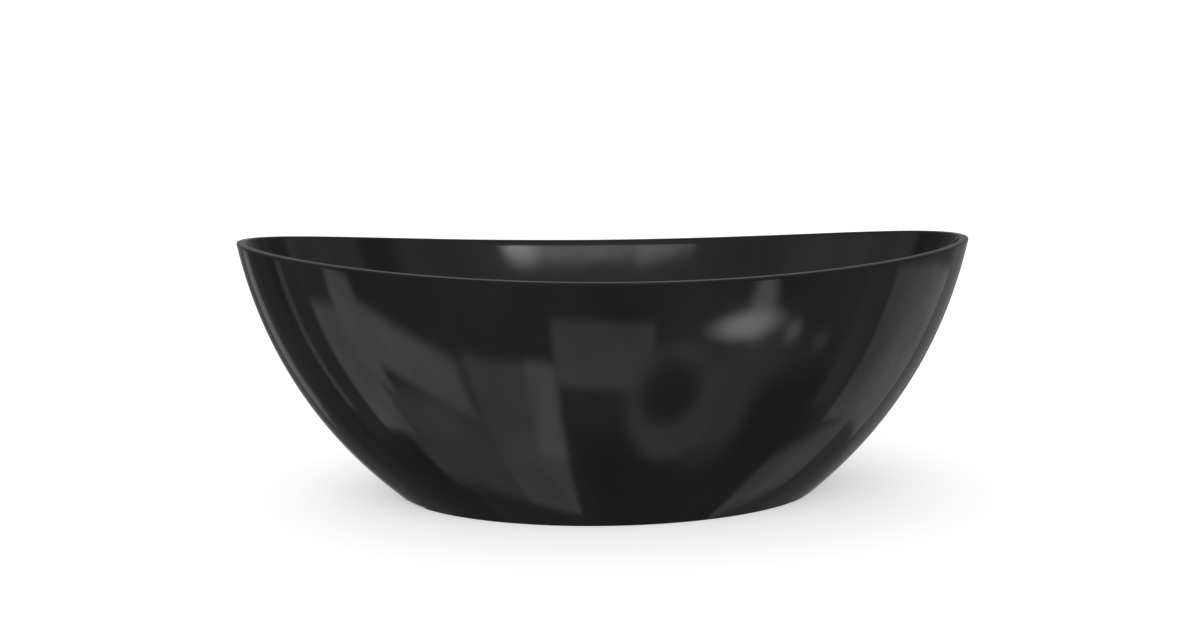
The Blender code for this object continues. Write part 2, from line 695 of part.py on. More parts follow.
# ---- Waste and plug ------------------------------------------------------------------------------
def make_waste():
    flange = turned(
        "waste_flange",
        [
            (FLANGE_RADIUS, FLANGE_TOP),
            (FLANGE_RADIUS, FLANGE_BASE),
            (TAIL_RADIUS, FLANGE_BASE),
            (TAIL_RADIUS, TAIL_END),
            (TAIL_BORE, TAIL_END),
            (TAIL_BORE, SEAT),
            (FLANGE_RADIUS - FLANGE_LIP - FLANGE_BEVEL, SEAT),
            (FLANGE_RADIUS - FLANGE_LIP, FLANGE_TOP),
        ],
        CHROME,
        ring=True,
    )
    middle = HUB_BASE + SPIDER_HEIGHT / 2
    span = TAIL_BORE + TAIL_RADIUS
    arm_x = block("spider_arm_x", (span, SPIDER_WIDTH, SPIDER_HEIGHT), (0, 0, middle))
    arm_y = block("spider_arm_y", (SPIDER_WIDTH, span, SPIDER_HEIGHT), (0, 0, middle))
    hub = rod("spider_hub", HUB_RADIUS, (0, 0, HUB_BASE), (0, 0, HUB_BASE + SPIDER_HEIGHT))
    join(flange, arm_x, arm_y, hub)
    cut(flange, rod("spider_bore", CLICKER_RADIUS + GAP, (0, 0, HUB_BASE - PAST),
                    (0, 0, HUB_BASE + SPIDER_HEIGHT + PAST)))

    seal_inner = TAIL_RADIUS + 2 * THREAD_GAP
    turned("waste_top_seal", washer(seal_inner, FLANGE_RADIUS, RECESS_FLOOR + GAP,
                                    FLANGE_BASE - GAP), RUBBER, ring=True)
    turned("waste_bottom_seal", washer(seal_inner, TRAP_COLLAR_RADIUS - CHAMFER, TRAP_TOP + GAP,
                                       UNDERSIDE - GAP), RUBBER, ring=True)


def make_clicker():
    base = SHOULDER_BASE - CLICKER_DROP
    top = SHOULDER_BASE + CLICKER_SHOULDER
    lip = STEM_RADIUS + SLIDE_GAP
    turned(
        "clicker_body",
        [
            (0, base + CLICKER_FLOOR),
            (CLICKER_BORE, base + CLICKER_FLOOR),
            (CLICKER_BORE, SHOULDER_BASE - CLICKER_LIP),
            (lip, SHOULDER_BASE - CLICKER_LIP),
            (lip, top),
            (HUB_RADIUS, top),
            (HUB_RADIUS, SHOULDER_BASE),
            (CLICKER_RADIUS, SHOULDER_BASE),
            (CLICKER_RADIUS, base),
            (0, base),
        ],
        BRASS,
    )
    spring_base = base + CLICKER_FLOOR + GAP
    wire_base = spring_base + SPRING_WIRE
    rise = SPRING_LENGTH - 2 * SPRING_WIRE
    points = []
    for step in range(SPRING_TURNS * 8 + 1):
        share = step / (SPRING_TURNS * 8)
        angle = 2 * math.pi * SPRING_TURNS * share
        points.append((SPRING_RADIUS * math.cos(angle), SPRING_RADIUS * math.sin(angle),
                       wire_base + rise * share))
    add_object("clicker_spring", path_curve("clicker_spring", points, SPRING_WIRE, 1), STEEL)
    return spring_base + SPRING_LENGTH + GAP


def make_plug(stem_base):
    """The cap, its seal and its stem, which rise together when the plug is pressed and let go."""
    plug = add_empty("plug", (0, 0, SEAT))
    boss_base = PLUG_BASE - PLUG_BOSS_DROP
    socket = STEM_RADIUS + GAP
    socket_top = PLUG_BASE - PLUG_CROWN
    edge = PLUG_BASE + PLUG_EDGE
    dome = []
    for step in range(6):
        angle = math.pi / 2 * step / 5
        dome.append((PLUG_RADIUS * math.sin(angle), edge + PLUG_DOME * math.cos(angle)))
    turned(
        "plug_cap",
        [(radius, height - SEAT) for radius, height in dome + [
            (PLUG_RADIUS, PLUG_BASE),
            (PLUG_BOSS_RADIUS, PLUG_BASE),
            (PLUG_BOSS_RADIUS, boss_base),
            (socket, boss_base),
            (socket, socket_top),
            (0, socket_top),
        ]],
        CHROME,
        plug,
    )
    turned(
        "plug_seal",
        washer(PLUG_BOSS_RADIUS + GAP, PLUG_SEAL_RADIUS, PLUG_SEAL_BASE - SEAT,
               PLUG_BASE - GAP - SEAT),
        RUBBER,
        plug,
        ring=True,
    )
    turned(
        "plug_stem",
        [
            (0, socket_top - GAP - SEAT),
            (STEM_RADIUS, socket_top - GAP - SEAT),
            (STEM_RADIUS, stem_base + STEM_FOOT_HEIGHT - SEAT),
            (STEM_FOOT_RADIUS, stem_base + STEM_FOOT_HEIGHT - SEAT),
            (STEM_FOOT_RADIUS, stem_base - SEAT),
            (0, stem_base - SEAT),
        ],
        BRASS,
        plug,
        steps=SMALL_STEPS,
    )


# ---- Trap and outlet -----------------------------------------------------------------------------
def make_trap_body():
    """A solid outside with its two side branches, then the water ways cut out of it."""
    dip_radius = DIP_BORE + DIP_WALL
    cavity = TRAP_RADIUS - TRAP_WALL
    tail_socket = TAIL_RADIUS + THREAD_GAP
    body = turned(
        "trap_body",
        [
            (0, TRAP_TOP),
            (TRAP_COLLAR_RADIUS, TRAP_TOP),
            (TRAP_COLLAR_RADIUS, TRAP_TOP - TRAP_COLLAR_HEIGHT),
            (TRAP_RADIUS, TRAP_TOP - 2 * TRAP_COLLAR_HEIGHT),
            (TRAP_RADIUS, DIP_END),
            (0, DIP_END),
        ],
        PLASTIC,
    )
    outlet_start = (dip_radius, 0, OUTLET_HEIGHT)
    spigot_start = (0, -(tail_socket + TRAP_RADIUS) / 2, SPIGOT_HEIGHT)
    join(
        body,
        rod("outlet_branch", SOCKET_RADIUS, outlet_start, (OUTLET_REACH, 0, OUTLET_HEIGHT)),
        rod("overflow_branch", HOSE_RADIUS, spigot_start, (0, -SPIGOT_REACH, SPIGOT_HEIGHT)),
    )
    centre_way = turned(
        "centre_way",
        [
            (0, TRAP_TOP + PAST),
            (tail_socket, TRAP_TOP + PAST),
            (tail_socket, CHAMBER_FLOOR),
            (DIP_BORE, CHAMBER_FLOOR),
            (DIP_BORE, DIP_END - PAST),
            (0, DIP_END - PAST),
        ],
        None,
    )
    ring_way = turned(
        "ring_way",
        [
            (cavity, PARTITION_BASE),
            (cavity, TRAP_END),
            (TRAP_COLLAR_RADIUS, TRAP_END),
            (TRAP_COLLAR_RADIUS, DIP_END - PAST),
            (dip_radius, DIP_END - PAST),
            (dip_radius, PARTITION_BASE),
        ],
        None,
        ring=True,
    )
    way_start = (dip_radius + (cavity - dip_radius) / 3, 0, OUTLET_HEIGHT)
    socket_start = (OUTLET_REACH - OUTLET_SOCKET_DEPTH, 0, OUTLET_HEIGHT)
    past_outlet = (OUTLET_REACH + PAST, 0, OUTLET_HEIGHT)
    cut(
        body,
        centre_way,
        ring_way,
        rod("outlet_way", OUTLET_BORE, way_start, past_outlet),
        rod("outlet_socket", SOCKET_BORE, socket_start, past_outlet),
        rod("overflow_way", SPIGOT_BORE, (0, -DIP_BORE, SPIGOT_HEIGHT),
            (0, -SPIGOT_REACH - PAST, SPIGOT_HEIGHT), segments=SMALL_STEPS),
    )


def make_trap_cup():
    inner = TRAP_RADIUS + THREAD_GAP
    outer = inner + CUP_WALL
    ledge = TRAP_RADIUS - TRAP_WALL
    ledge_height = CUP_INSIDE + CUP_LEDGE
    turned(
        "trap_cup",
        [
            (0, CUP_INSIDE),
            (ledge, CUP_INSIDE),
            (ledge, ledge_height),
            (inner, ledge_height),
            (inner, CUP_TOP),
            (outer, CUP_TOP),
            (outer, CUP_CLEARANCE + CUP_EASE),
            (outer - CUP_EASE, CUP_CLEARANCE),
            (0, CUP_CLEARANCE),
        ],
        PLASTIC,
    )
    turned("trap_cup_seal", washer(ledge + GAP, TRAP_RADIUS, ledge_height + GAP, TRAP_END - GAP),
           RUBBER, ring=True)


def lay_along_x(obj, start):
    """Stands a turned piece on its side: its +Z then points along +X from a start point."""
    obj.rotation_euler = (0, math.pi / 2, 0)
    obj.location = start


def make_outlet():
    seal_outer = SOCKET_RADIUS
    seal = turned("trap_outlet_seal", washer(SOCKET_BORE, seal_outer, 0, OUTLET_SEAL_LENGTH),
                  RUBBER, ring=True)
    lay_along_x(seal, (OUTLET_REACH + GAP, 0, OUTLET_HEIGHT))

    nut_inner = SOCKET_RADIUS + THREAD_GAP
    nut_outer = nut_inner + OUTLET_NUT_WALL
    lip_start = OUTLET_NUT_LENGTH - OUTLET_NUT_LIP
    nut = turned(
        "trap_outlet_nut",
        [
            (nut_outer - CHAMFER, OUTLET_NUT_LENGTH),
            (nut_outer, OUTLET_NUT_LENGTH - CHAMFER),
            (nut_outer, 0),
            (nut_inner, 0),
            (nut_inner, lip_start),
            (SOCKET_BORE, lip_start),
            (SOCKET_BORE, OUTLET_NUT_LENGTH),
        ],
        PLASTIC,
        ring=True,
    )
    nut_start = OUTLET_REACH + 2 * GAP + OUTLET_SEAL_LENGTH - lip_start
    lay_along_x(nut, (nut_start, 0, OUTLET_HEIGHT))

    pipe_start = OUTLET_REACH - OUTLET_SOCKET_DEPTH + GAP
    points = [(pipe_start, 0, OUTLET_HEIGHT)]
    for step in range(9):
        angle = math.pi / 2 * step / 8
        points.append((ELBOW_RUN + ELBOW_BEND * math.sin(angle), 0,
                       OUTLET_HEIGHT - ELBOW_BEND * (1 - math.cos(angle))))
    points.append((ELBOW_RUN + ELBOW_BEND, 0, ELBOW_END))
    elbow = add_object("outlet_elbow", path_curve("outlet_elbow", points, PIPE_RADIUS, 6, caps=False),
                       PLASTIC)
    wall = elbow.modifiers.new("pipe wall", "SOLIDIFY")
    wall.thickness = OUTLET_WALL
    wall.offset = -1


# ---- Overflow ------------------------------------------------------------------------------------
def overflow_place():
    """Matrix of the overflow: +Z points into the tub square to the wall, and +Y down the wall."""
    t_values = np.linspace(0, 1, 400)
    heights = inside(np.full(400, FRONT), t_values)[:, 2]
    t = float(np.interp(OVERFLOW_HEIGHT, heights, t_values))
    into = -Vector(normal_of(inside, np.float64(FRONT), t))
    along = Vector((1, 0, 0))
    down = into.cross(along)
    place = Matrix((along, down, into)).transposed().to_4x4()
    place.translation = Vector(inside(np.float64(FRONT), t))
    return place


def gap_middle(height):
    """Point midway between the basin and the skirt at the overflow's side, at a height."""
    t_values = np.linspace(0, 1, 400)
    hidden = behind_basin(np.full(400, FRONT), t_values)
    basin_y = np.interp(height, hidden[:, 2], hidden[:, 1])
    skirt_y = behind_outside(np.float64(FRONT), height, SKIRT_WALL)[1]
    return Vector((0, (basin_y + skirt_y) / 2, height))


def plate_standoff(place):
    """How far the hollow, faceted wall reaches in front of the overflow's plane behind the plate."""
    to_plate = place.inverted()
    facet = 2 * math.pi / AROUND
    reach = 0.0
    for angle in (FRONT - facet, FRONT):
        for level in range(UP_WALL):
            low, high = level / UP_WALL, (level + 1) / UP_WALL
            corners = [inside(np.float64(a), t) for t in (low, high) for a in (angle, angle + facet)]
            for u in np.linspace(0, 1, 12):
                for v in np.linspace(0, 1, 12):
                    point = (1 - v) * ((1 - u) * corners[0] + u * corners[1])
                    point = point + v * ((1 - u) * corners[2] + u * corners[3])
                    local = to_plate @ Vector(point)
                    if math.hypot(local.x, local.y) < PLATE_RADIUS + facet * RIM_WIDTH:
                        reach = max(reach, local.z)
    return reach + 2 * GAP


def make_overflow_cover(place):
    base = plate_standoff(place)
    top = base + PLATE_HEIGHT
    hole = OVERFLOW_SCREW_RADIUS + GAP
    sink = OVERFLOW_SCREW_HEAD - OVERFLOW_SCREW_RADIUS
    plate = turned(
        "overflow_plate",
        [
            (hole + sink, top + PLATE_DOME),
            (PLATE_RADIUS * 0.7, top + PLATE_DOME * 0.5),
            (PLATE_RADIUS - CHAMFER, top - CHAMFER),
            (PLATE_RADIUS, top - 2 * CHAMFER),
            (PLATE_RADIUS, base),
            (PLATE_RADIUS - PLATE_WALL, base),
            (PLATE_RADIUS - PLATE_WALL, top - PLATE_WALL - CHAMFER / 2),
            (hole, top - PLATE_WALL),
            (hole, top + PLATE_DOME - sink),
        ],
        CHROME,
        ring=True,
    )
    slot = block("plate_slot", (PLATE_SLOT_WIDTH, 2 * PAST, 2 * PLATE_SLOT_HEIGHT),
                 (0, PLATE_RADIUS, base))
    cut(plate, slot)
    mesh = frozen(plate)
    plate = add_object("overflow_plate", mesh, CHROME)
    plate.matrix_world = place

    head_top = top + PLATE_DOME
    screw = turned(
        "overflow_screw",
        [
            (0, head_top),
            (OVERFLOW_SCREW_HEAD, head_top),
            (OVERFLOW_SCREW_RADIUS, head_top - sink),
            (OVERFLOW_SCREW_RADIUS, head_top - OVERFLOW_SCREW_LENGTH),
            (0, head_top - OVERFLOW_SCREW_LENGTH),
        ],
        CHROME,
        steps=SMALL_STEPS,
    )
    screw.matrix_world = place
    return head_top - OVERFLOW_SCREW_LENGTH


def make_overflow_housing(place, screw_end):
    """Gasket and low housing behind the wall, with a spigot that points down between the shells."""
    gasket_top = -BASIN_WALL - GAP
    face = gasket_top - GASKET_THICKNESS - GAP
    gasket = turned("overflow_gasket",
                    washer(OVERFLOW_HOLE_RADIUS, HOUSING_FLANGE_RADIUS,
                           gasket_top - GASKET_THICKNESS, gasket_top), RUBBER, ring=True)
    gasket.matrix_world = place

    back = face - HOUSING_DEPTH
    housing = turned(
        "overflow_body",
        [
            (0, face),
            (HOUSING_FLANGE_RADIUS, face),
            (HOUSING_FLANGE_RADIUS, face - HOUSING_FLANGE),
            (HOUSING_RADIUS, face - HOUSING_FLANGE),
            (HOUSING_RADIUS, back),
            (0, back),
        ],
        BLACK_PLASTIC,
    )
    housing.matrix_world = place
    to_local = place.inverted()
    end = gap_middle(OVERFLOW_HEIGHT - HOUSING_SPIGOT_END)
    up = (gap_middle(end.z + HOSE_LEAD) - end).normalized()
    branch_top = end + up * (HOUSING_SPIGOT_END - HOUSING_SPIGOT_TOP)
    inner = HOUSING_RADIUS - HOUSING_WALL
    hollow = turned(
        "housing_hollow",
        [
            (inner, face + PAST),
            (inner, back + HOUSING_WALL),
            (HOUSING_BOSS_RADIUS, back + HOUSING_WALL),
            (HOUSING_BOSS_RADIUS, face + PAST),
        ],
        None,
        ring=True,
    )
    hollow.matrix_world = place
    boss_face = rod("boss_face", HOUSING_BOSS_RADIUS + CHAMFER, (0, 0, face - CHAMFER),
                    (0, 0, face + PAST + CHAMFER))
    boss_bore = rod("boss_bore", OVERFLOW_SCREW_RADIUS + GAP, (0, 0, screw_end - GAP),
                    (0, 0, face + PAST), segments=SMALL_STEPS)
    boss_face.matrix_world = place
    boss_bore.matrix_world = place
    branch = rod("housing_branch", HOSE_RADIUS, branch_top, end)
    way = rod("housing_way", SPIGOT_BORE, branch_top - up * HOUSING_WALL, end - up * PAST,
              segments=SMALL_STEPS)
    join(housing, branch)
    cut(housing, hollow, way, boss_face, boss_bore)
    return end, up


def smooth_path(points, per_span):
    """Points along a smooth curve that passes through a list of points."""
    ends = [2 * points[0] - points[1], *points, 2 * points[-1] - points[-2]]
    path = []
    for before, start, end, after in zip(ends, ends[1:], ends[2:], ends[3:]):
        for step in range(per_span):
            s = step / per_span
            path.append(0.5 * (2 * start + (end - before) * s
                               + (2 * before - 5 * start + 4 * end - after) * s**2
                               + (3 * start - before - 3 * end + after) * s**3))
    path.append(points[-1])
    return path


def make_hose(end, up):
    """From the trap's branch it runs level under the floor, turns up and climbs between the shells."""
    start = Vector((0, -SPIGOT_REACH - GAP, SPIGOT_HEIGHT))
    top = end - up * GAP
    climb = [gap_middle(height) for height in np.linspace(0.62, 0.88, 3) * top.z]
    along_gap = (climb[1] - climb[0]).normalized()
    corner = climb[0] - along_gap * (climb[0].z - start.z) / along_gap.z
    slope = math.atan2(along_gap.z, -along_gap.y)
    bend_start = corner + Vector((0, HOSE_BEND * math.tan(slope / 2), 0))
    bend = []
    for share in (0, 1 / 3, 2 / 3, 1):
        angle = slope * share
        turned_by = Vector((0, -math.sin(angle), 1 - math.cos(angle)))
        bend.append(bend_start + HOSE_BEND * turned_by)
    level = [start, start - Vector((0, HOSE_LEAD, 0)), (start + bend[0]) / 2]
    route = level + bend + climb + [top - up * HOSE_LEAD, top]
    points = smooth_path(route, 3)
    add_object("overflow_hose", path_curve("overflow_hose", points, HOSE_RADIUS, 3), BLACK_PLASTIC)

    profile = washer(HOSE_RADIUS + GAP, HOSE_NUT_RADIUS, -HOSE_NUT_LENGTH / 2, HOSE_NUT_LENGTH / 2)
    for name, middle, axis in (
        ("overflow_hose_nut_top", end, up),
        ("overflow_hose_nut_bottom", start, Vector((0, -1, 0))),
    ):
        nut = turned(name, profile, PLASTIC, ring=True)
        turn = Vector((0, 0, 1)).rotation_difference(axis).to_matrix().to_4x4()
        nut.matrix_world = Matrix.Translation(middle) @ turn


def make_overflow():
    place = overflow_place()
    screw_end = make_overflow_cover(place)
    end, up = make_overflow_housing(place, screw_end)
    make_hose(end, up)


make_outer_shell()
make_basin_shell()
make_foot_ring()
make_base_board()
make_leg_bars()
make_bar_caps()
make_bar_screws()
make_feet()
make_waste()
make_plug(make_clicker())
make_trap_body()
make_trap_cup()
make_outlet()
make_overflow()
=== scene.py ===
"""Finished surfaces of a freestanding acrylic bathtub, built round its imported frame.

A gloss black basin and skirt stand on a plywood board, two galvanised leg bars and four screw-down
feet. A click-clack waste leads to a bottle trap, and an overflow drains to it through a hose.
Lengths are in metres and heights are above the floor.
"""
import math

import bpy
import numpy as np
from mathutils import Matrix, Vector


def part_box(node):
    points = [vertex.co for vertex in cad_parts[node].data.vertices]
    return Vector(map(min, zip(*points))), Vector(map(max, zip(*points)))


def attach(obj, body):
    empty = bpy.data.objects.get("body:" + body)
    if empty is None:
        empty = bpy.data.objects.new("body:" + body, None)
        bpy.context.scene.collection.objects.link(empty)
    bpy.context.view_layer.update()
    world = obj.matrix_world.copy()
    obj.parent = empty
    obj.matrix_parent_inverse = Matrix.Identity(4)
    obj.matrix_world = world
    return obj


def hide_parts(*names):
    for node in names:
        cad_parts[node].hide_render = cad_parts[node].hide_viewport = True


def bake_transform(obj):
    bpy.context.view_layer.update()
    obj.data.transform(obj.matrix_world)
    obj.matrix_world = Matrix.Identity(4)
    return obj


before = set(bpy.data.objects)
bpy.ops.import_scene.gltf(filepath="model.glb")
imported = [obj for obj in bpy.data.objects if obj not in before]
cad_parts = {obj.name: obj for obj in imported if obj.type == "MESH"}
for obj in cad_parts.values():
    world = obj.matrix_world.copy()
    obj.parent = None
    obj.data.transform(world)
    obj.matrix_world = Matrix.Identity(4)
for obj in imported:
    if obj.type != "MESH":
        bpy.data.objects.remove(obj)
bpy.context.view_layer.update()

# ---- Sizes of the tub's two walls ----------------------------------------------------------------
LENGTH, WIDTH = 1.700, 0.800  # over the rim
SIDE_HEIGHT, END_RISE = 0.545, 0.050
FOOT_LENGTH, FOOT_WIDTH = 1.010, 0.620
FLARE_REACH, FLARE_RISE = 0.81, 0.395  # handle of the outer curve
SKIRT_WALL = 0.005
RIM_WIDTH, RIM_DEPTH = 0.020, 0.008
BASIN_WALL = 0.007
FLOOR_HALF_LENGTH, FLOOR_HALF_WIDTH = 0.470, 0.215
BASIN_REACH, BASIN_RISE = 0.55, 0.03  # handle of the inner curve
FLOOR_EDGE, FLOOR_LOW = 0.141, 0.135
RECESS_FLOOR, UNDERSIDE = 0.130, 0.122
RECESS_RADIUS, WASTE_HOLE_RADIUS = 0.038, 0.026
FRONT = -math.pi / 2  # angle round the tub of the overflow
OVERFLOW_HEIGHT = 0.445
FULL_TURN = 2 * math.pi

AROUND = 320  # points round the tub
SAMPLES = 400  # points up a wall when a height is looked up
ANGLES = np.linspace(0, FULL_TURN, AROUND + 1)
UP = Vector((0, 0, 1))
MERGE_DISTANCE = 1e-6


def curve_share(t, handle):
    """How far a wall has gone from its foot to its rim at t, bent by its curve's handle."""
    return 2 * t * (1 - t) * handle + t * t


def rim_height(angle):
    return SIDE_HEIGHT + END_RISE * np.cos(angle) ** 2


def outside(angle, height):
    """Point of the tub's outer face at an angle round it and a height."""
    bend = 1 - 2 * FLARE_RISE
    share = height / rim_height(angle)
    t = (np.sqrt(FLARE_RISE**2 + bend * share) - FLARE_RISE) / bend
    opened = curve_share(t, FLARE_REACH)
    x = (FOOT_LENGTH + (LENGTH - FOOT_LENGTH) * opened) / 2 * np.cos(angle)
    y = (FOOT_WIDTH + (WIDTH - FOOT_WIDTH) * opened) / 2 * np.sin(angle)
    return np.stack(np.broadcast_arrays(x, y, height), axis=-1)


def inside(angle, t):
    """Point of the basin's inner wall, from t = 0 at the floor's edge to t = 1 at the rim."""
    opened = curve_share(t, BASIN_REACH)
    half_length = FLOOR_HALF_LENGTH + (LENGTH / 2 - RIM_WIDTH - FLOOR_HALF_LENGTH) * opened
    half_width = FLOOR_HALF_WIDTH + (WIDTH / 2 - RIM_WIDTH - FLOOR_HALF_WIDTH) * opened
    height = FLOOR_EDGE + (rim_height(angle) - FLOOR_EDGE) * curve_share(t, BASIN_RISE)
    return np.stack(
        np.broadcast_arrays(half_length * np.cos(angle), half_width * np.sin(angle), height), axis=-1
    )


def square_to(surface, angle, level):
    """Unit normals of a wall, pointing away from the middle of the tub."""
    step = 1e-4
    along = surface(angle + step, level) - surface(angle - step, level)
    up = surface(angle, level + step) - surface(angle, level - step)
    normal = np.cross(along, up)
    return normal / np.linalg.norm(normal, axis=-1, keepdims=True)


def behind_outside(angle, height, depth):
    """Point a depth behind the tub's outer face, measured square to it and moved level."""
    level = square_to(outside, angle, height) * (1, 1, 0)
    return outside(angle, height) - depth * level / np.sum(level**2, axis=-1, keepdims=True)


def behind_basin(angle, t):
    """Point of the basin's hidden face, which is level under the floor."""
    point = inside(angle, t) + BASIN_WALL * square_to(inside, angle, t)
    start = inside(angle, 0) + BASIN_WALL * square_to(inside, angle, 0)
    point[..., 2] += (UNDERSIDE - start[..., 2]) * (1 - t) ** 2
    return point


def level_ring(half_x, half_y, height):
    return np.stack(
        np.broadcast_arrays(half_x * np.cos(ANGLES), half_y * np.sin(ANGLES), height), axis=-1
    )


def rounded_corner(start, corner, end, steps=6):
    """Rings that turn a corner in an even curve, from a start ring to an end ring."""
    shares = np.linspace(0, 1, steps + 1)
    return [(1 - s) ** 2 * start + 2 * s * (1 - s) * corner + s**2 * end for s in shares]


# ---- Modelling steps that pieces share -----------------------------------------------------------
def begin():
    """Object mode with nothing selected, ready for the next primitive."""
    if bpy.context.object and bpy.context.object.mode != "OBJECT":
        bpy.ops.object.mode_set(mode="OBJECT")
    bpy.ops.object.select_all(action="DESELECT")


def pick(piece):
    begin()
    piece.select_set(True)
    bpy.context.view_layer.objects.active = piece


def new_piece(name):
    """Names the primitive that was just added and puts its place into its mesh."""
    piece = bpy.context.object
    piece.name = piece.data.name = name
    bpy.ops.object.transform_apply(location=True, rotation=True, scale=True)
    return piece


def close_up(piece):
    """Welds seams and poles and turns every face outwards."""
    pick(piece)
    bpy.ops.object.mode_set(mode="EDIT")
    bpy.ops.mesh.select_all(action="SELECT")
    bpy.ops.mesh.remove_doubles(threshold=MERGE_DISTANCE)
    bpy.ops.mesh.dissolve_degenerate(threshold=MERGE_DISTANCE)
    bpy.ops.mesh.normals_make_consistent(inside=False)
    bpy.ops.object.mode_set(mode="OBJECT")
    return piece


def apply_modifier(piece, kind, **settings):
    pick(piece)
    modifier = piece.modifiers.new(kind.lower(), kind)
    for setting, value in settings.items():
        setattr(modifier, setting, value)
    bpy.ops.object.modifier_apply(modifier=modifier.name)
    return piece


def smooth(piece, degrees=35):
    pick(piece)
    bpy.ops.object.shade_smooth_by_angle(angle=math.radians(degrees))
    return piece


def soften(piece, width, segments=2, degrees=40):
    """Rounds the edges sharper than an angle, then shades what is round."""
    apply_modifier(piece, "BEVEL", width=width, segments=segments, limit_method="ANGLE",
                   angle_limit=math.radians(degrees), use_clamp_overlap=True)
    return smooth(piece)


def ring_grid(name, rings):
    """A flat grid with one row of points for each ring."""
    begin()
    bpy.ops.mesh.primitive_grid_add(
        x_subdivisions=len(rings[0]) - 1, y_subdivisions=len(rings) - 1, size=1
    )
    return new_piece(name)


def set_on_rings(piece, rings):
    """Sets a grid's rows on its rings and welds its seam."""
    piece.data.vertices.foreach_set("co", np.concatenate(rings).astype(np.float32).ravel())
    piece.data.update()
    return close_up(piece)


def lofted(name, rings):
    return set_on_rings(ring_grid(name, rings), rings)


def draw_wire(name, start, moves):
    """A wire drawn from a point, move by move. It is left in edit mode."""
    begin()
    bpy.ops.mesh.primitive_plane_add(size=0.001, location=start)
    piece = new_piece(name)
    bpy.ops.object.mode_set(mode="EDIT")
    bpy.ops.mesh.select_all(action="SELECT")
    bpy.ops.mesh.merge(type="CENTER")
    for move in moves:
        bpy.ops.mesh.extrude_vertices_move(TRANSFORM_OT_translate={"value": move})
    return piece


def turned(name, profile, steps=64, closed=False):
    """An outline spun round the upright axis. It ends on the axis or closes."""
    points = [Vector((radius, 0, height)) for radius, height in profile]
    if closed:
        points.append(points[0])
    piece = draw_wire(name, points[0], [after - before for before, after in zip(points, points[1:])])
    bpy.ops.mesh.select_all(action="SELECT")
    bpy.ops.mesh.spin(steps=steps, angle=FULL_TURN, center=(0, 0, 0), axis=(0, 0, 1))
    bpy.ops.object.mode_set(mode="OBJECT")
    return close_up(piece)


def washer(inner, outer, base, top):
    """Outline of a plain ring."""
    return [(inner, base), (outer, base), (outer, top), (inner, top)]


def rod(name, radius, start, end, sides=32):
    """A round rod between two points."""
    start, end = Vector(start), Vector(end)
    begin()
    turn = UP.rotation_difference(end - start)
    bpy.ops.mesh.primitive_cylinder_add(
        vertices=sides, radius=radius, depth=(end - start).length, location=(start + end) / 2,
        rotation=turn.to_euler(),
    )
    return new_piece(name)


def block(name, size, centre):
    begin()
    bpy.ops.mesh.primitive_cube_add(size=1, location=centre, scale=size)
    return new_piece(name)


def combine(piece, others, operation):
    for other in others:
        apply_modifier(piece, "BOOLEAN", object=other, operation=operation, solver="EXACT")
        bpy.data.objects.remove(other)
    return piece


def joined(name, pieces):
    pick(pieces[0])
    for piece in pieces:
        piece.select_set(True)
    if len(pieces) > 1:
        bpy.ops.object.join()
    bpy.context.object.name = bpy.context.object.data.name = name
    return bpy.context.object


def placed(piece, matrix):
    """Puts a piece where a matrix says, in its mesh."""
    piece.data.transform(matrix)
    piece.data.update()
    return piece


def copied(piece, name, matrix):
    """A copy of a piece with its own mesh, put where a matrix says."""
    twin = piece.copy()
    twin.data = piece.data.copy()
    twin.name = twin.data.name = name
    bpy.context.scene.collection.objects.link(twin)
    return placed(twin, matrix)


def at(x, y, z):
    return Matrix.Translation((x, y, z))


def with_ribs(name, body, size, centre, ease, count, segments=2, offset=0.0):
    """Joins a body with a rib repeated round the upright axis. The offset is in steps."""
    rib = soften(block("rib", size, centre), ease, segments, 30)
    ribs = [copied(rib, "rib", Matrix.Rotation(FULL_TURN * (number + offset) / count, 4, "Z"))
            for number in range(count)]
    bpy.data.objects.remove(rib)
    return joined(name, [body, *ribs])


def cross(length, width, depth, middle):
    """Two bars that cross on the upright axis."""
    return [block("bar", size, (0, 0, middle))
            for size in ((length, width, depth), (width, length, depth))]


def threaded(name, core, crest, pitch, low, high, steps=20):
    """A rod with a true screw thread: one tooth wound up the axis and cut off level at both ends."""
    depth = crest - core
    tooth = ((depth, 0, 0.4 * pitch), (0, 0, 0.15 * pitch), (-depth, 0, 0.4 * pitch),
             (0, 0, 0.05 * pitch))
    piece = draw_wire(name, (core, 0, low - 2 * pitch), tooth)
    bpy.ops.object.mode_set(mode="OBJECT")
    turns = math.ceil((high - low) / pitch) + 4
    apply_modifier(piece, "SCREW", angle=FULL_TURN, screw_offset=pitch, iterations=turns,
                   steps=steps, render_steps=steps, axis="Z", use_merge_vertices=False)
    close_up(piece)
    bpy.ops.object.mode_set(mode="EDIT")
    bpy.ops.mesh.select_all(action="DESELECT")
    bpy.ops.mesh.select_non_manifold(extend=False)
    bpy.ops.mesh.fill_holes(sides=0)
    bpy.ops.mesh.select_all(action="SELECT")
    bpy.ops.mesh.normals_make_consistent(inside=False)
    bpy.ops.object.mode_set(mode="OBJECT")
    combine(piece, [rod("length", 1.5 * crest, (0, 0, low), (0, 0, high))], "INTERSECT")
    return close_up(piece)


# ---- Finishes ------------------------------------------------------------------------------------
DUST_COLOUR = (0.35, 0.33, 0.30, 1)
DUST_ROUGHNESS = 0.9
PLASTIC_DUST, GALVANISED_DUST = 0.25, 0.5


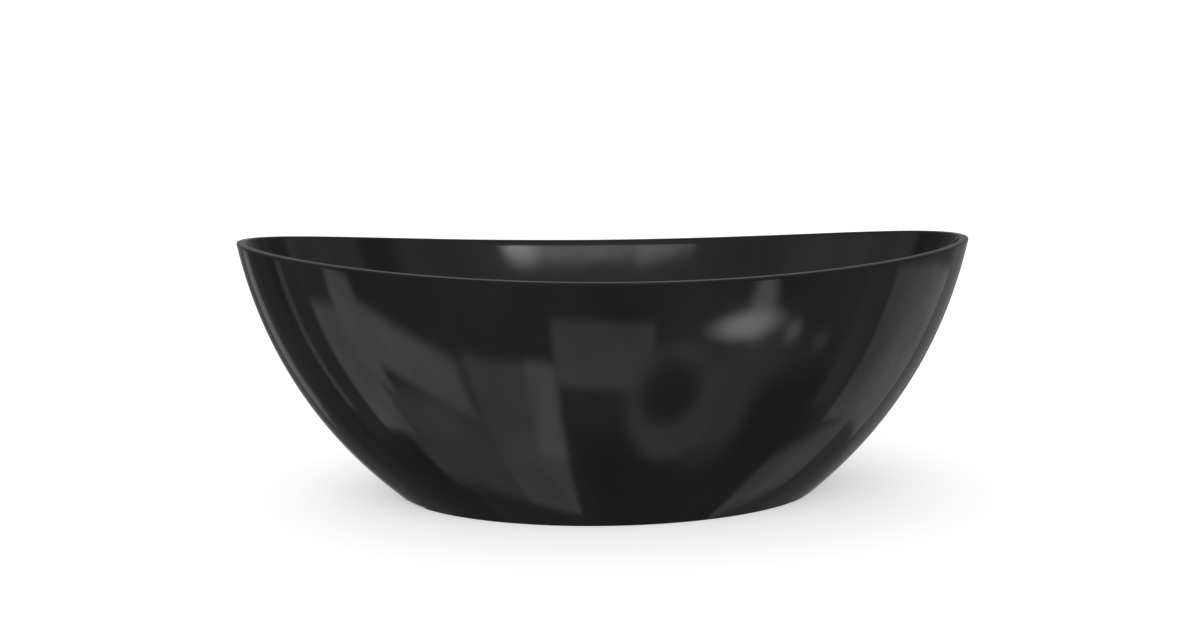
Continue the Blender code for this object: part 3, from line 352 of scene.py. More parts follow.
def new_group(name, inputs, outputs):
    """An empty shader node group with named sockets. Each entry is a socket's name and kind."""
    group = bpy.data.node_groups.new(name, "ShaderNodeTree")
    for direction, sockets in (("INPUT", inputs), ("OUTPUT", outputs)):
        for socket_name, kind in sockets:
            group.interface.new_socket(name=socket_name, in_out=direction,
                                       socket_type="NodeSocket" + kind)
    given, result = group.nodes.new("NodeGroupInput"), group.nodes.new("NodeGroupOutput")
    return group, given.outputs, result


def fill(tree, socket, value):
    """Links a socket to another one, or sets it to a constant."""
    if isinstance(value, bpy.types.NodeSocket):
        tree.links.new(value, socket)
    else:
        socket.default_value = value


def feed(tree, node, **values):
    """Fills a node's sockets by name, with _ for a space."""
    for key, value in values.items():
        fill(tree, node.inputs[key.replace("_", " ")], value)


def add(tree, kind, **settings):
    """A node with its settings. Those that are named after a socket fill that socket."""
    node = tree.nodes.new("ShaderNode" + kind)
    for key, value in settings.items():
        if hasattr(node, key):
            setattr(node, key, value)
        else:
            feed(tree, node, **{key: value})
    return node


def calculate(tree, operation, *values):
    """The result of a Math node."""
    node = add(tree, "Math", operation=operation)
    for socket, value in zip(node.inputs, values):
        fill(tree, socket, value)
    return node.outputs[0]


def remap(tree, value, low, high, to_low=0.0, to_high=1.0, **settings):
    """A value moved from one range to another."""
    return add(tree, "MapRange", Value=value, From_Min=low, From_Max=high, To_Min=to_low,
               To_Max=to_high, **settings).outputs["Result"]


def mix(tree, share, first, second):
    return add(tree, "MixRGB", Fac=share, Color1=first, Color2=second).outputs["Color"]


def noise(tree, place, scale, detail, **settings):
    return add(tree, "TexNoise", Vector=place, Scale=scale, Detail=detail, **settings).outputs["Fac"]


def upward_part(tree):
    """How far a face looks up, from -1 to 1."""
    return add(tree, "SeparateXYZ", Vector=add(tree, "NewGeometry").outputs["Normal"]).outputs["Z"]


def grey(value):
    return (value, value, value, 1)


def make_marks_group():
    """Soft uneven handling marks: a value between two limits, and a mask."""
    group, given, result = new_group(
        "handling_marks",
        [("Vector", "Vector"), ("Scale", "Float"), ("Low", "Float"), ("High", "Float")],
        [("Value", "Float"), ("Mask", "Float")],
    )
    marks = noise(group, given["Vector"], given["Scale"], 5.0, Roughness=0.6)
    feed(group, result, Value=remap(group, marks, 0.35, 0.7, given["Low"], given["High"]),
         Mask=remap(group, marks, 0.45, 0.65))
    return group


def make_dust_group():
    """Pale dust on the faces that look up, broken by noise."""
    group, given, result = new_group(
        "settled_dust",
        [("Vector", "Vector"), ("Colour", "Color"), ("Roughness", "Float"), ("Amount", "Float")],
        [("Colour", "Color"), ("Roughness", "Float")],
    )
    upward = remap(group, upward_part(group), 0.2, 1.0)
    patchy = remap(group, noise(group, given["Vector"], 60.0, 6.0), 0.4, 0.75)
    share = calculate(group, "MULTIPLY", upward, patchy)
    cover = calculate(group, "MULTIPLY", share, given["Amount"])
    feed(group, result, Colour=mix(group, cover, given["Colour"], DUST_COLOUR),
         Roughness=remap(group, cover, 0.0, 1.0, given["Roughness"], DUST_ROUGHNESS))
    return group


MARKS = make_marks_group()
DUST = make_dust_group()


def new_finish(name, colour, roughness, metallic=0.0):
    """A material with its shader, its tree and its object coordinates."""
    material = bpy.data.materials.new(name)
    material.use_nodes = True
    tree = material.node_tree
    shader = tree.nodes["Principled BSDF"]
    feed(tree, shader, Base_Color=(*colour, 1), Roughness=roughness, Metallic=metallic)
    return material, tree, shader, add(tree, "TexCoord").outputs["Object"]


def add_marks(tree, place, scale, low, high):
    """Outputs of handling marks between two limits."""
    return add(tree, "Group", node_tree=MARKS, Vector=place, Scale=scale, Low=low, High=high).outputs


def add_dust(tree, shader, place, colour, roughness, amount):
    """Gives a shader a colour and a roughness with dust over them."""
    dusty = add(tree, "Group", node_tree=DUST, Vector=place, Colour=colour, Roughness=roughness,
                Amount=amount).outputs
    feed(tree, shader, Base_Color=dusty["Colour"], Roughness=dusty["Roughness"])


def add_bump(tree, shader, height, strength, distance):
    bump = add(tree, "Bump", Height=height, Strength=strength, Distance=distance)
    feed(tree, shader, Normal=bump.outputs["Normal"])


def make_acrylic():
    """Polished black sheet: deep gloss, faint polishing haze and a very slight forming ripple."""
    material, tree, shader, place = new_finish("gloss_black_acrylic", (0.0035, 0.0035, 0.0038), 0.05)
    haze = add_marks(tree, place, 5.0, 0.045, 0.085)["Value"]
    tone = add_marks(tree, place, 2.5, 0.0, 1.0)["Value"]
    depth = mix(tree, tone, (0.0030, 0.0030, 0.0033, 1), (0.0046, 0.0046, 0.0050, 1))
    feed(tree, shader, Base_Color=depth, Roughness=haze, IOR=1.49)
    add_bump(tree, shader, noise(tree, place, 3.2, 1.0), 0.12, 0.012)
    return material


def make_laminate():
    """Sprayed resin and chopped glass on the hidden faces: grey, coarse and matt."""
    material, tree, shader, place = new_finish("glass_fibre_back", (0.20, 0.21, 0.20), 0.6)
    strands = add(tree, "TexVoronoi", Vector=place, Scale=95.0, feature="DISTANCE_TO_EDGE")
    clumps = noise(tree, place, 38.0, 8.0, Distortion=1.6)
    blend = calculate(tree, "MULTIPLY_ADD", strands.outputs["Distance"], 1.5, clumps)
    ramp = add(tree, "ValToRGB", Fac=blend)
    dark, pale = ramp.color_ramp.elements
    dark.position, dark.color = 0.35, (0.12, 0.125, 0.115, 1)
    pale.position, pale.color = 0.9, (0.33, 0.34, 0.31, 1)
    feed(tree, shader, Base_Color=ramp.outputs["Color"],
         Roughness=add_marks(tree, place, 20.0, 0.45, 0.75)["Value"])
    add_bump(tree, shader, blend, 0.6, 0.001)
    return material


def make_metal(name, colour, low, high, scale, dust=0.0, ripple=0.0):
    """Metal with uneven polish and, where it is out of sight, dust on its upper faces."""
    material, tree, shader, place = new_finish(name, colour, low, 1.0)
    marks = add_marks(tree, place, scale, low, high)
    darker = tuple(0.72 * part for part in colour)
    tint = mix(tree, marks["Mask"], (*colour, 1), (*darker, 1))
    add_dust(tree, shader, place, tint, marks["Value"], dust)
    if ripple:
        add_bump(tree, shader, noise(tree, place, scale * 6, 4.0), ripple, 0.0004)
    return material


def make_galvanised():
    """Hot-dip zinc with its flaky crystals, each with its own tone."""
    material, tree, shader, place = new_finish("dull_galvanised_steel", (0.45, 0.47, 0.48), 0.4, 1.0)
    flakes = add(tree, "TexVoronoi", Vector=place, Scale=210.0, feature="F1").outputs
    tone = add(tree, "SeparateColor", Color=flakes["Color"]).outputs
    tint = mix(tree, tone["Red"], (0.44, 0.46, 0.47, 1), (0.58, 0.60, 0.61, 1))
    rough = remap(tree, tone["Green"], 0.0, 1.0, 0.32, 0.50)
    add_dust(tree, shader, place, tint, rough, GALVANISED_DUST)
    add_bump(tree, shader, flakes["Distance"], 0.15, 0.0003)
    return material


def make_plastic(name, colour, low, high, grain):
    """Moulded plastic or rubber: fine spark texture, uneven sheen, dust on its upper faces."""
    material, tree, shader, place = new_finish(name, colour, low)
    marks = add_marks(tree, place, 30.0, low, high)
    paler = tuple(min(1.0, 1.25 * part + 0.004) for part in colour)
    tint = mix(tree, marks["Mask"], (*colour, 1), (*paler, 1))
    add_dust(tree, shader, place, tint, marks["Value"], PLASTIC_DUST)
    add_bump(tree, shader, noise(tree, place, 900.0, 2.0), grain, 0.0002)
    return material


def make_plywood():
    """Sealed birch ply: long grain on the faces and alternate layers on the edges."""
    material, tree, shader, place = new_finish("sealed_birch_plywood", (0.42, 0.27, 0.14), 0.5)
    stretched = add(tree, "Mapping", Vector=place, Scale=(2.0, 38.0, 38.0))
    grain = noise(tree, stretched.outputs["Vector"], 3.0, 8.0, Distortion=0.8)
    face = mix(tree, grain, (0.27, 0.155, 0.07, 1), (0.55, 0.37, 0.20, 1))
    layers = add(tree, "TexWave", Vector=place, wave_type="BANDS", bands_direction="Z", Scale=53.0,
                 Distortion=0.4)
    steps = remap(tree, layers.outputs["Fac"], 0.45, 0.55)
    edge = mix(tree, steps, (0.20, 0.11, 0.05, 1), (0.50, 0.34, 0.19, 1))
    on_face = remap(tree, calculate(tree, "ABSOLUTE", upward_part(tree)), 0.4, 0.6)
    feed(tree, shader, Base_Color=mix(tree, on_face, edge, face),
         Roughness=add_marks(tree, place, 14.0, 0.38, 0.62)["Value"])
    add_bump(tree, shader, grain, 0.25, 0.0006)
    return material


ACRYLIC = make_acrylic()
LAMINATE = make_laminate()
GALVANISED = make_galvanised()
CHROME = make_metal("bright_chrome", (0.80, 0.81, 0.83), 0.035, 0.11, 40.0)
ZINC = make_metal("bright_zinc_plate", (0.62, 0.60, 0.52), 0.22, 0.42, 90.0, dust=0.3, ripple=0.2)
BRASS = make_metal("turned_brass", (0.72, 0.50, 0.22), 0.18, 0.34, 70.0, ripple=0.15)
SPRING_STEEL = make_metal("spring_steel", (0.55, 0.56, 0.58), 0.2, 0.35, 80.0)
RUBBER = make_plastic("moulded_black_rubber", (0.012, 0.012, 0.012), 0.55, 0.8, 0.35)
GREY_PLASTIC = make_plastic("moulded_grey_plastic", (0.36, 0.37, 0.38), 0.35, 0.55, 0.2)
BLACK_PLASTIC = make_plastic("moulded_black_plastic", (0.014, 0.014, 0.015), 0.35, 0.55, 0.25)
PLYWOOD = make_plywood()


def dress(piece, finish, slot, body, *nodes):
    """Gives a piece its finish and its body, and hides the frame's nodes that it stands for."""
    if finish.name not in piece.data.materials:
        piece.data.materials.clear()
        piece.data.materials.append(finish)
    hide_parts(*nodes)
    if body:
        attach(piece, body)
    return piece


# ---- Skirt and basin -----------------------------------------------------------------------------
WALL_RINGS, FLOOR_RINGS = 64, 20
RIM_ROUND, RECESS_ROUND = 0.0035, 0.0012
OVERFLOW_HOLE_RADIUS = 0.024


def loft_with_back(name, rings, first_hidden, last_hidden):
    """A lofted shell of acrylic, with rough laminate between two of its rings."""
    piece = ring_grid(name, rings)
    piece.data.materials.append(ACRYLIC)
    piece.data.materials.append(LAMINATE)
    for face in piece.data.polygons:
        face.material_index = int(first_hidden <= face.index // AROUND < last_hidden)
    return set_on_rings(piece, rings)


def make_skirt():
    """Outer shell, from the floor to the underside of the rim."""
    top = rim_height(ANGLES) - RIM_DEPTH
    heights = [top * share for share in np.linspace(0, 1, WALL_RINGS + 1)]
    outer = [outside(ANGLES, height) for height in heights]
    inner = [behind_outside(ANGLES, height, SKIRT_WALL) for height in reversed(heights[::4])]
    rings = outer + inner + [outer[0]]
    skirt = loft_with_back("tub_skirt", rings, len(outer), len(rings) - 2)
    dress(smooth(skirt, 50), ACRYLIC, "black_acrylic", "tub", "outer_shell")


def overflow_place():
    """Matrix of the overflow: +Z points into the tub square to the wall, and +Y down the wall."""
    t_values = np.linspace(0, 1, SAMPLES)
    heights = inside(np.full(SAMPLES, FRONT), t_values)[:, 2]
    t = float(np.interp(OVERFLOW_HEIGHT, heights, t_values))
    into = -Vector(square_to(inside, np.float64(FRONT), t))
    along = Vector((1, 0, 0))
    matrix = Matrix((along, into.cross(along), into)).transposed().to_4x4()
    matrix.translation = Vector(inside(np.float64(FRONT), t))
    return matrix


def make_basin():
    """Basin with its rim, floor and waste recess, and its hidden back, as one shell."""
    rim = rim_height(ANGLES)
    top_shares = np.linspace(0, 1, WALL_RINGS + 1)
    hidden = [behind_basin(ANGLES, t) for t in top_shares[::4]][:-1]
    under = behind_basin(ANGLES, 1.0)
    under[:, 2] = rim - RIM_DEPTH
    back = hidden + [under, outside(ANGLES, rim - RIM_DEPTH)]

    outer_edge = outside(ANGLES, rim)
    inner_edge = inside(ANGLES, 1.0)
    across = (inner_edge - outer_edge) / RIM_WIDTH
    near_top = 1 - RIM_ROUND / (SIDE_HEIGHT - FLOOR_EDGE) / 2
    rim_rings = rounded_corner(
        outside(ANGLES, rim - RIM_ROUND), outer_edge, outer_edge + across * RIM_ROUND
    ) + rounded_corner(
        inner_edge - across * RIM_ROUND, inner_edge, inside(ANGLES, near_top)
    )
    wall = [inside(ANGLES, near_top * share) for share in top_shares[::-1]][1:]

    floor = []
    for share in np.linspace(0, 1, FLOOR_RINGS + 1)[1:-1]:
        half_x = FLOOR_HALF_LENGTH * (1 - share) + RECESS_RADIUS * share
        half_y = FLOOR_HALF_WIDTH * (1 - share) + RECESS_RADIUS * share
        height = FLOOR_EDGE - (FLOOR_EDGE - FLOOR_LOW) * share
        floor.append(level_ring(half_x, half_y, height))

    def ring(radius, height):
        return level_ring(radius, radius, height)

    wide, deep = RECESS_RADIUS + RECESS_ROUND, FLOOR_LOW - RECESS_ROUND
    recess = rounded_corner(ring(wide, FLOOR_LOW), ring(RECESS_RADIUS, FLOOR_LOW),
                            ring(RECESS_RADIUS - 0.0003, deep), 4)
    recess += rounded_corner(
        ring(RECESS_RADIUS - 0.0009, RECESS_FLOOR + RECESS_ROUND),
        ring(RECESS_RADIUS - 0.00125, RECESS_FLOOR),
        ring(RECESS_RADIUS - 0.0025, RECESS_FLOOR), 4,
    )
    recess += [ring(WASTE_HOLE_RADIUS, RECESS_FLOOR), ring(WASTE_HOLE_RADIUS, UNDERSIDE)]
    rings = back + rim_rings + wall + floor + recess + [hidden[0]]
    basin = loft_with_back("tub_basin", rings, 0, len(back) - 1)
    through = Vector((0, 0, 0.02))
    hole = rod("hole", OVERFLOW_HOLE_RADIUS, OVERFLOW @ -through, OVERFLOW @ through, 48)
    combine(basin, [hole], "DIFFERENCE")
    dress(smooth(basin, 50), ACRYLIC, "black_acrylic", "tub", "basin_shell")


OVERFLOW = overflow_place()
make_skirt()
make_basin()


# ---- Shapes that several fittings share ------------------------------------------------------------
CORNERS = ((1, 1), (-1, 1), (-1, -1), (1, -1))  # numbered from the rear right, anticlockwise


def hexagon(name, flats, base, top):
    """A plain hexagonal bar, measured across its flats."""
    begin()
    bpy.ops.mesh.primitive_cylinder_add(vertices=6, radius=flats / 2 / math.cos(math.pi / 6),
                                        depth=top - base, location=(0, 0, (base + top) / 2))
    return new_piece(name)


def turn_corners(piece, flats, base, top, face_share, fall):
    """Turns a hexagon's corners to a cone at both ends. The flat face keeps a share of its width."""
    face, corner = flats / 2 * face_share, flats / math.sqrt(3) * 1.02
    crown = turned("crown", [(0, base), (face, base), (corner, base + fall), (corner, top - fall),
                             (face, top), (0, top)], 72)
    return combine(piece, [crown], "INTERSECT")


def hex_nut(name, flats, bore, base, top):
    """A hexagon nut with both faces turned to a cone at the corners, and a chamfered bore."""
    fall = 1.15 * (flats / math.sqrt(3) - flats / 2) * math.tan(math.radians(30))
    nut = turn_corners(hexagon(name, flats, base, top), flats, base, top, 0.97, fall)
    chamfer = 0.0006
    wide = bore + 2 * chamfer
    hole = turned("hole", [(0, base - chamfer), (wide, base - chamfer), (bore, base + chamfer),
                           (bore, top - chamfer), (wide, top + chamfer), (0, top + chamfer)], 48)
    combine(nut, [hole], "DIFFERENCE")
    return soften(close_up(nut), 0.00015, 1, 25)


def rounded_washer(name, inner, outer, base, top, ease=0.0004):
    ring = turned(name, washer(inner, outer, base, top), 96, closed=True)
    return soften(ring, ease, 3, 40)


def route_rings(points, radii, side, sides):
    """Rings square to a route, one for each of its points."""
    turn = np.linspace(0, FULL_TURN, sides + 1)[:, None]
    rings = []
    for index, (point, radius) in enumerate(zip(points, radii)):
        before, after = points[max(index - 1, 0)], points[min(index + 1, len(points) - 1)]
        along = (after - before).normalized()
        across = (side - along * side.dot(along)).normalized()
        circle = np.cos(turn) * np.array(across) + np.sin(turn) * np.array(along.cross(across))
        rings.append(np.array(point) + radius * circle)
    return rings


def swept(name, points, radii, sides=32):
    """A solid round bar whose radius follows the route."""
    first, last = (np.repeat([point], sides + 1, axis=0) for point in (points[0], points[-1]))
    return lofted(name, [first, *route_rings(points, radii, Vector((1, 0, 0)), sides), last])


def smooth_path(points, per_span):
    """Points along a smooth curve that passes through a list of points."""
    ends = [2 * points[0] - points[1], *points, 2 * points[-1] - points[-2]]
    path = []
    for before, start, end, after in zip(ends, ends[1:], ends[2:], ends[3:]):
        for step in range(per_span):
            s = step / per_span
            path.append(0.5 * (2 * start + (end - before) * s
                               + (2 * before - 5 * start + 4 * end - after) * s**2
                               + (3 * start - before - 3 * end + after) * s**3))
    path.append(points[-1])
    return path


# ---- Board, leg bars and the ring in the skirt's foot ----------------------------------------------
BAR_SIZE, BAR_WALL, BAR_LENGTH, BAR_PLACE = 0.025, 0.002, 0.360, 0.300
BAR_BASE, BAR_MIDDLE = 0.0814, 0.0939
BAR_HOLLOW = BAR_SIZE - 2 * BAR_WALL
BOARD_BASE, BOARD_TOP = 0.1067, 0.1217
BOARD_HALF_LENGTH, BOARD_HALF_WIDTH, BOARD_CUT_OUT = 0.45, 0.195, 0.075
FOOT_RING_BASE, FOOT_RING_TOP = 0.004, 0.029
SCREW_PLACE, FOOT_PLACE = 0.100, 0.150
SCREW_HOLE, STUD_HOLE = 0.0027, 0.0065  # radii


def make_foot_ring():
    """Ply ring bonded inside the skirt, its edges eased."""
    low, high = FOOT_RING_BASE, FOOT_RING_TOP
    near, far = SKIRT_WALL + 0.0012, SKIRT_WALL + 0.0128
    rings = [behind_outside(ANGLES, np.full(AROUND + 1, height), depth)
             for height, depth in zip((high, low, low, high, high),
                                      (near, near, far, far, near))]
    ring = soften(lofted("skirt_ply_ring", rings), 0.0012, 2)
    dress(ring, PLYWOOD, "sealed_plywood", "tub", "skirt_foot_ring")


def make_board():
    """Plywood board laminated under the floor: an oval with eased edges and a round cut-out."""
    low, high = BOARD_BASE, BOARD_TOP
    rings = [level_ring(BOARD_HALF_LENGTH, BOARD_HALF_WIDTH, low),
             level_ring(BOARD_HALF_LENGTH, BOARD_HALF_WIDTH, high),
             level_ring(BOARD_CUT_OUT, BOARD_CUT_OUT, high),
             level_ring(BOARD_CUT_OUT, BOARD_CUT_OUT, low)]
    board = lofted("base_ply_board", [*rings, rings[0]])
    holes = [rod("pilot", SCREW_HOLE, (x * BAR_PLACE, y * SCREW_PLACE, low - 0.001),
                 (x * BAR_PLACE, y * SCREW_PLACE, low + 0.0118), 24) for x, y in CORNERS]
    combine(board, holes, "DIFFERENCE")
    soften(board, 0.0016, 2, 50)
    dress(board, PLYWOOD, "sealed_plywood", "tub", "base_board")


def round_long_edges(piece, width):
    """Bevels the edges that run along a bar."""
    points = piece.data.vertices
    pick(piece)
    bpy.ops.object.mode_set(mode="EDIT")
    bpy.ops.mesh.select_all(action="DESELECT")
    bpy.ops.object.mode_set(mode="OBJECT")
    for edge in piece.data.edges:
        start, end = edge.vertices
        edge.select = abs(points[start].co.y - points[end].co.y) > BAR_LENGTH / 2
    bpy.ops.object.mode_set(mode="EDIT")
    bpy.ops.mesh.bevel(offset=width, segments=5)
    bpy.ops.object.mode_set(mode="OBJECT")
    return piece


def make_bars():
    """Square galvanised tubes with rounded corners, open ends and drilled holes."""
    middle = (0, 0, BAR_MIDDLE)
    bar = round_long_edges(block("bar", (BAR_SIZE, BAR_LENGTH, BAR_SIZE), middle), 0.0032)
    core = block("core", (BAR_HOLLOW, BAR_LENGTH + 0.01, BAR_HOLLOW), middle)
    cutters = [round_long_edges(core, 0.0014)]
    below, through_wall, through_bar = BAR_BASE - 0.005, BAR_BASE + 0.012, BAR_BASE + BAR_SIZE + 0.005
    for side in (1, -1):
        for radius, reach, top, sides in ((STUD_HOLE, FOOT_PLACE, through_wall, 40),
                                          (SCREW_HOLE, SCREW_PLACE, through_bar, 24)):
            cutters.append(rod("hole", radius, (0, side * reach, below), (0, side * reach, top), sides))
    combine(bar, cutters, "DIFFERENCE")
    soften(bar, 0.0003, 1, 50)
    for name, side in (("left", -1), ("right", 1)):
        dress(copied(bar, f"galvanised_bar_{name}", at(side * BAR_PLACE, 0, 0)), GALVANISED,
              "galvanised_steel", "tub", f"leg_bar_{name}")
    bpy.data.objects.remove(bar)


def make_bar_caps():
    """Black plastic end plugs: a rounded head and a hollow spigot."""
    end = BAR_LENGTH / 2
    head = block("head", (BAR_SIZE, 0.002, BAR_SIZE), (0, end + 0.0013, BAR_MIDDLE))
    soften(head, 0.0008, 3, 40)
    inner = BAR_HOLLOW - 0.0008
    spigot = block("spigot", (inner, 0.0095, inner), (0, end - 0.0044, BAR_MIDDLE))
    hollow = block("hollow", (inner - 0.004, 0.02, inner - 0.004), (0, end - 0.0115, BAR_MIDDLE))
    combine(spigot, [hollow], "DIFFERENCE")
    soften(spigot, 0.0006, 2, 40)
    cap = joined("cap", [head, spigot])
    for number, (side_x, side_y) in enumerate(CORNERS, 1):
        turn = Matrix.Rotation(0 if side_y > 0 else math.pi, 4, "Z")
        dress(copied(cap, f"bar_end_plug_{number}", at(side_x * BAR_PLACE, 0, 0) @ turn),
              BLACK_PLASTIC, "black_plastic", "tub", f"leg_bar_cap_{number}")
    bpy.data.objects.remove(cap)


def make_bar_screws():
    """Pan-head wood screws: domed head with a cross recess, a shank and a thread in the board."""
    top, core = 0.0368, 0.0017
    shank = turned("shank", [
        (0, -0.003), (0.0026, -0.0029), (0.0040, -0.0023), (0.0046, -0.0012), (0.0046, -0.0003),
        (0.0023, -0.0003), (0.0023, 0.022), (0, 0.022),
    ], 40)
    combine(shank, cross(0.0046, 0.0009, 0.0026, -0.0030), "DIFFERENCE")
    smooth(shank, 30)
    thread = threaded("thread", core, 0.0024, 0.0018, 0.0219, top - 0.004, 18)
    point = turned("point", [(0, top - 0.0041), (core, top - 0.0041), (0, top)], 24)
    screw = joined("screw", [shank, smooth(thread, 40), smooth(point, 40)])
    for number, (side_x, side_y) in enumerate(CORNERS, 1):
        place = at(side_x * BAR_PLACE, side_y * SCREW_PLACE, BAR_BASE)
        dress(copied(screw, f"wood_screw_{number}", place), ZINC, "zinc_plate", "tub",
              f"leg_bar_screw_{number}")
    bpy.data.objects.remove(screw)


# ---- Screw-down feet -------------------------------------------------------------------------------
STUD_RADIUS, STUD_CORE, NECK_RADIUS = 0.0059, 0.0050, 0.0042
BALL_RADIUS, BALL_HEIGHT = 0.0075, 0.0115
COLLAR_BASE, COLLAR_TOP, COLLAR_FLATS = 0.0200, 0.0280, 0.017
NUT_FLATS, NUT_BORE = 0.018, 0.0063
PITCH = 0.00175
SOLE = 0.0001  # height of the pad's sole above the floor


def arc(radius, height, start, end, steps):
    """Points of a vertical arc from one angle above the level to another, in degrees."""
    return [(radius * math.cos(a), height + radius * math.sin(a))
            for a in np.radians(np.linspace(start, end, steps + 1))]


def make_pad():
    """Rubber pad: soft rounded edges, a domed boss with the ball's socket and a ribbed sole."""
    socket = BALL_RADIUS + 0.0003
    inside_arc = arc(socket, BALL_HEIGHT, -90, 44, 14)
    inside_arc[0] = (0, BALL_HEIGHT - socket)
    profile = inside_arc + [
        (0.0062, 0.0176), (0.0066, 0.0184), (0.0100, 0.0184), (0.0114, 0.0180), (0.0123, 0.0168),
        (0.0125, 0.0080), (0.0130, 0.0060), (0.0145, 0.0050), (0.0225, 0.0048), (0.0240, 0.0042),
        (0.0249, 0.0030), (0.0249, 0.0012), (0.0242, 0.0004), (0.0230, SOLE),
    ]
    for radius in (0.0200, 0.0160, 0.0120, 0.0080):
        profile += [(radius + 0.0016, SOLE), (radius + 0.0012, 0.0009),
                    (radius + 0.0004, 0.0009), (radius, SOLE)]
    profile.append((0, SOLE))
    return smooth(turned("pad", profile, 72), 45)


def make_stud(top):
    """Rolled M12 thread, a hexagon collar for the spanner, a neck and the ball."""
    neck = math.degrees(math.acos(NECK_RADIUS / BALL_RADIUS))
    ball = arc(BALL_RADIUS, BALL_HEIGHT, neck, -90, 14)
    ball[-1] = (0, BALL_HEIGHT - BALL_RADIUS)
    lower = turned("lower", [(0, COLLAR_TOP - 0.002), (NECK_RADIUS, COLLAR_TOP - 0.002),
                             (NECK_RADIUS, 0.0190), *ball], 48)
    relief = turned("relief", [(0, COLLAR_TOP + 0.003), (0.0049, COLLAR_TOP + 0.003),
                               (0.0049, COLLAR_TOP - 0.001), (0, COLLAR_TOP - 0.001)], 40)
    collar = hexagon("collar", COLLAR_FLATS, COLLAR_BASE, COLLAR_TOP)
    turn_corners(collar, COLLAR_FLATS, COLLAR_BASE, COLLAR_TOP, 0.98, 0.0008)
    soften(collar, 0.0002, 1, 25)
    thread = threaded("thread", STUD_CORE, STUD_RADIUS, PITCH, COLLAR_TOP + 0.0028, top - 0.0012)
    tip = turned("tip", [(0, top - 0.0013), (STUD_CORE, top - 0.0013),
                         (STUD_RADIUS - 0.0020, top), (0, top)], 40)
    return joined("stud", [smooth(lower, 40), smooth(relief, 40), collar, smooth(thread, 30),
                           smooth(tip, 30)])


def make_feet():
    """The four feet: pad, stud, the nut welded to the bar and the lock nut under it."""
    nuts = {}
    for kind in ("weld", "lock"):
        low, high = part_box(f"foot_{kind}_nut_1")
        nuts[kind] = hex_nut(f"{kind}_nut", NUT_FLATS, NUT_BORE, low[2], high[2])
    patterns = (
        (make_pad(), "rubber_foot", RUBBER, "black_rubber", "pad_{}", "foot_pad"),
        (make_stud(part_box("foot_stud_1")[1][2]), "threaded_stud", ZINC, "zinc_plate", "stud_{}",
         "foot_stud"),
        (nuts["weld"], "welded_nut", GALVANISED, "galvanised_steel", "tub", "foot_weld_nut"),
        (nuts["lock"], "locking_nut", ZINC, "zinc_plate", "tub", "foot_lock_nut"),
    )
    for number, (side_x, side_y) in enumerate(CORNERS, 1):
        place = at(side_x * BAR_PLACE, side_y * FOOT_PLACE, 0)
        for pattern, name, finish, slot, body, node in patterns:
            dress(copied(pattern, f"{name}_{number}", place), finish, slot, body.format(number),
                  f"{node}_{number}")
    for pattern, *_ in patterns:
        bpy.data.objects.remove(pattern)


make_foot_ring()
make_board()
make_bars()
make_bar_caps()
make_bar_screws()
make_feet()

# ---- Waste and plug --------------------------------------------------------------------------------
FLANGE_BASE, SEAT, FLANGE_TOP = 0.1321, 0.1336, 0.1351
TAIL_RADIUS, TAIL_BORE, TAIL_END = 0.0235, 0.020, 0.106
PLUG_BASE, PLUG_TOP, PLUG_RADIUS = 0.1362, 0.1415, 0.0295
CLICKER_BASE, SHOULDER_BASE = 0.0920, 0.1173
STEM_RADIUS, SEAL_HOLE = 0.004, 0.0103
SPRING_BASE, SPRING_TOP = 0.0943, 0.1025
SPRING_RADIUS, SPRING_WIRE, SPRING_TURNS, CLOSED_TURNS = 0.0048, 0.0005, 6.0, 0.9
SPOKES_BASE, SPOKES_TOP = 0.112, 0.117


def make_waste():
    """Chromed flange with a rolled lip and a seat, a threaded tail and a cross that holds the clicker."""
    flange = turned("flange", [
        (0.0350, 0.1331), (0.0346, 0.1323), (0.0338, FLANGE_BASE), (TAIL_RADIUS - 0.0006, FLANGE_BASE),
        (TAIL_RADIUS - 0.0006, 0.1285), (TAIL_RADIUS - 0.0014, 0.1280),
        (TAIL_RADIUS - 0.0014, TAIL_END + 0.0008), (TAIL_RADIUS - 0.0020, TAIL_END),
        (TAIL_BORE + 0.0004, TAIL_END), (TAIL_BORE, TAIL_END + 0.0005), (TAIL_BORE, SEAT - 0.0010),
        (TAIL_BORE + 0.0003, SEAT - 0.0003), (TAIL_BORE + 0.0010, SEAT), (0.0310, SEAT),
        (0.0316, SEAT + 0.0003), (0.0322, FLANGE_TOP - 0.0003), (0.0329, FLANGE_TOP),
        (0.0340, FLANGE_TOP - 0.0002), (0.0348, FLANGE_TOP - 0.0008), (0.0350, FLANGE_TOP - 0.0014),
    ], 120, closed=True)
    low, high = SPOKES_BASE, SPOKES_TOP
    hub = rod("hub", 0.0108, (0, 0, low), (0, 0, high), 64)
    combine(hub, cross(TAIL_BORE + TAIL_RADIUS, 0.005, high - low, (low + high) / 2), "UNION")
    combine(hub, [rod("bore", 0.0083, (0, 0, low - 0.01), (0, 0, high + 0.01), 64)], "DIFFERENCE")
    soften(hub, 0.0006, 2, 50)
    pitch = 0.0016
    thread = threaded("thread", TAIL_RADIUS - pitch, TAIL_RADIUS, pitch, TAIL_END + 0.0012, 0.1275, 64)
    way = rod("way", TAIL_RADIUS - 0.0018, (0, 0, TAIL_END - 0.01), (0, 0, 0.14), 96)
    combine(thread, [way], "DIFFERENCE")
    waste = joined("waste_grate", [smooth(flange, 35), hub, smooth(thread, 30)])
    dress(waste, CHROME, "chrome", "tub", "waste_flange")


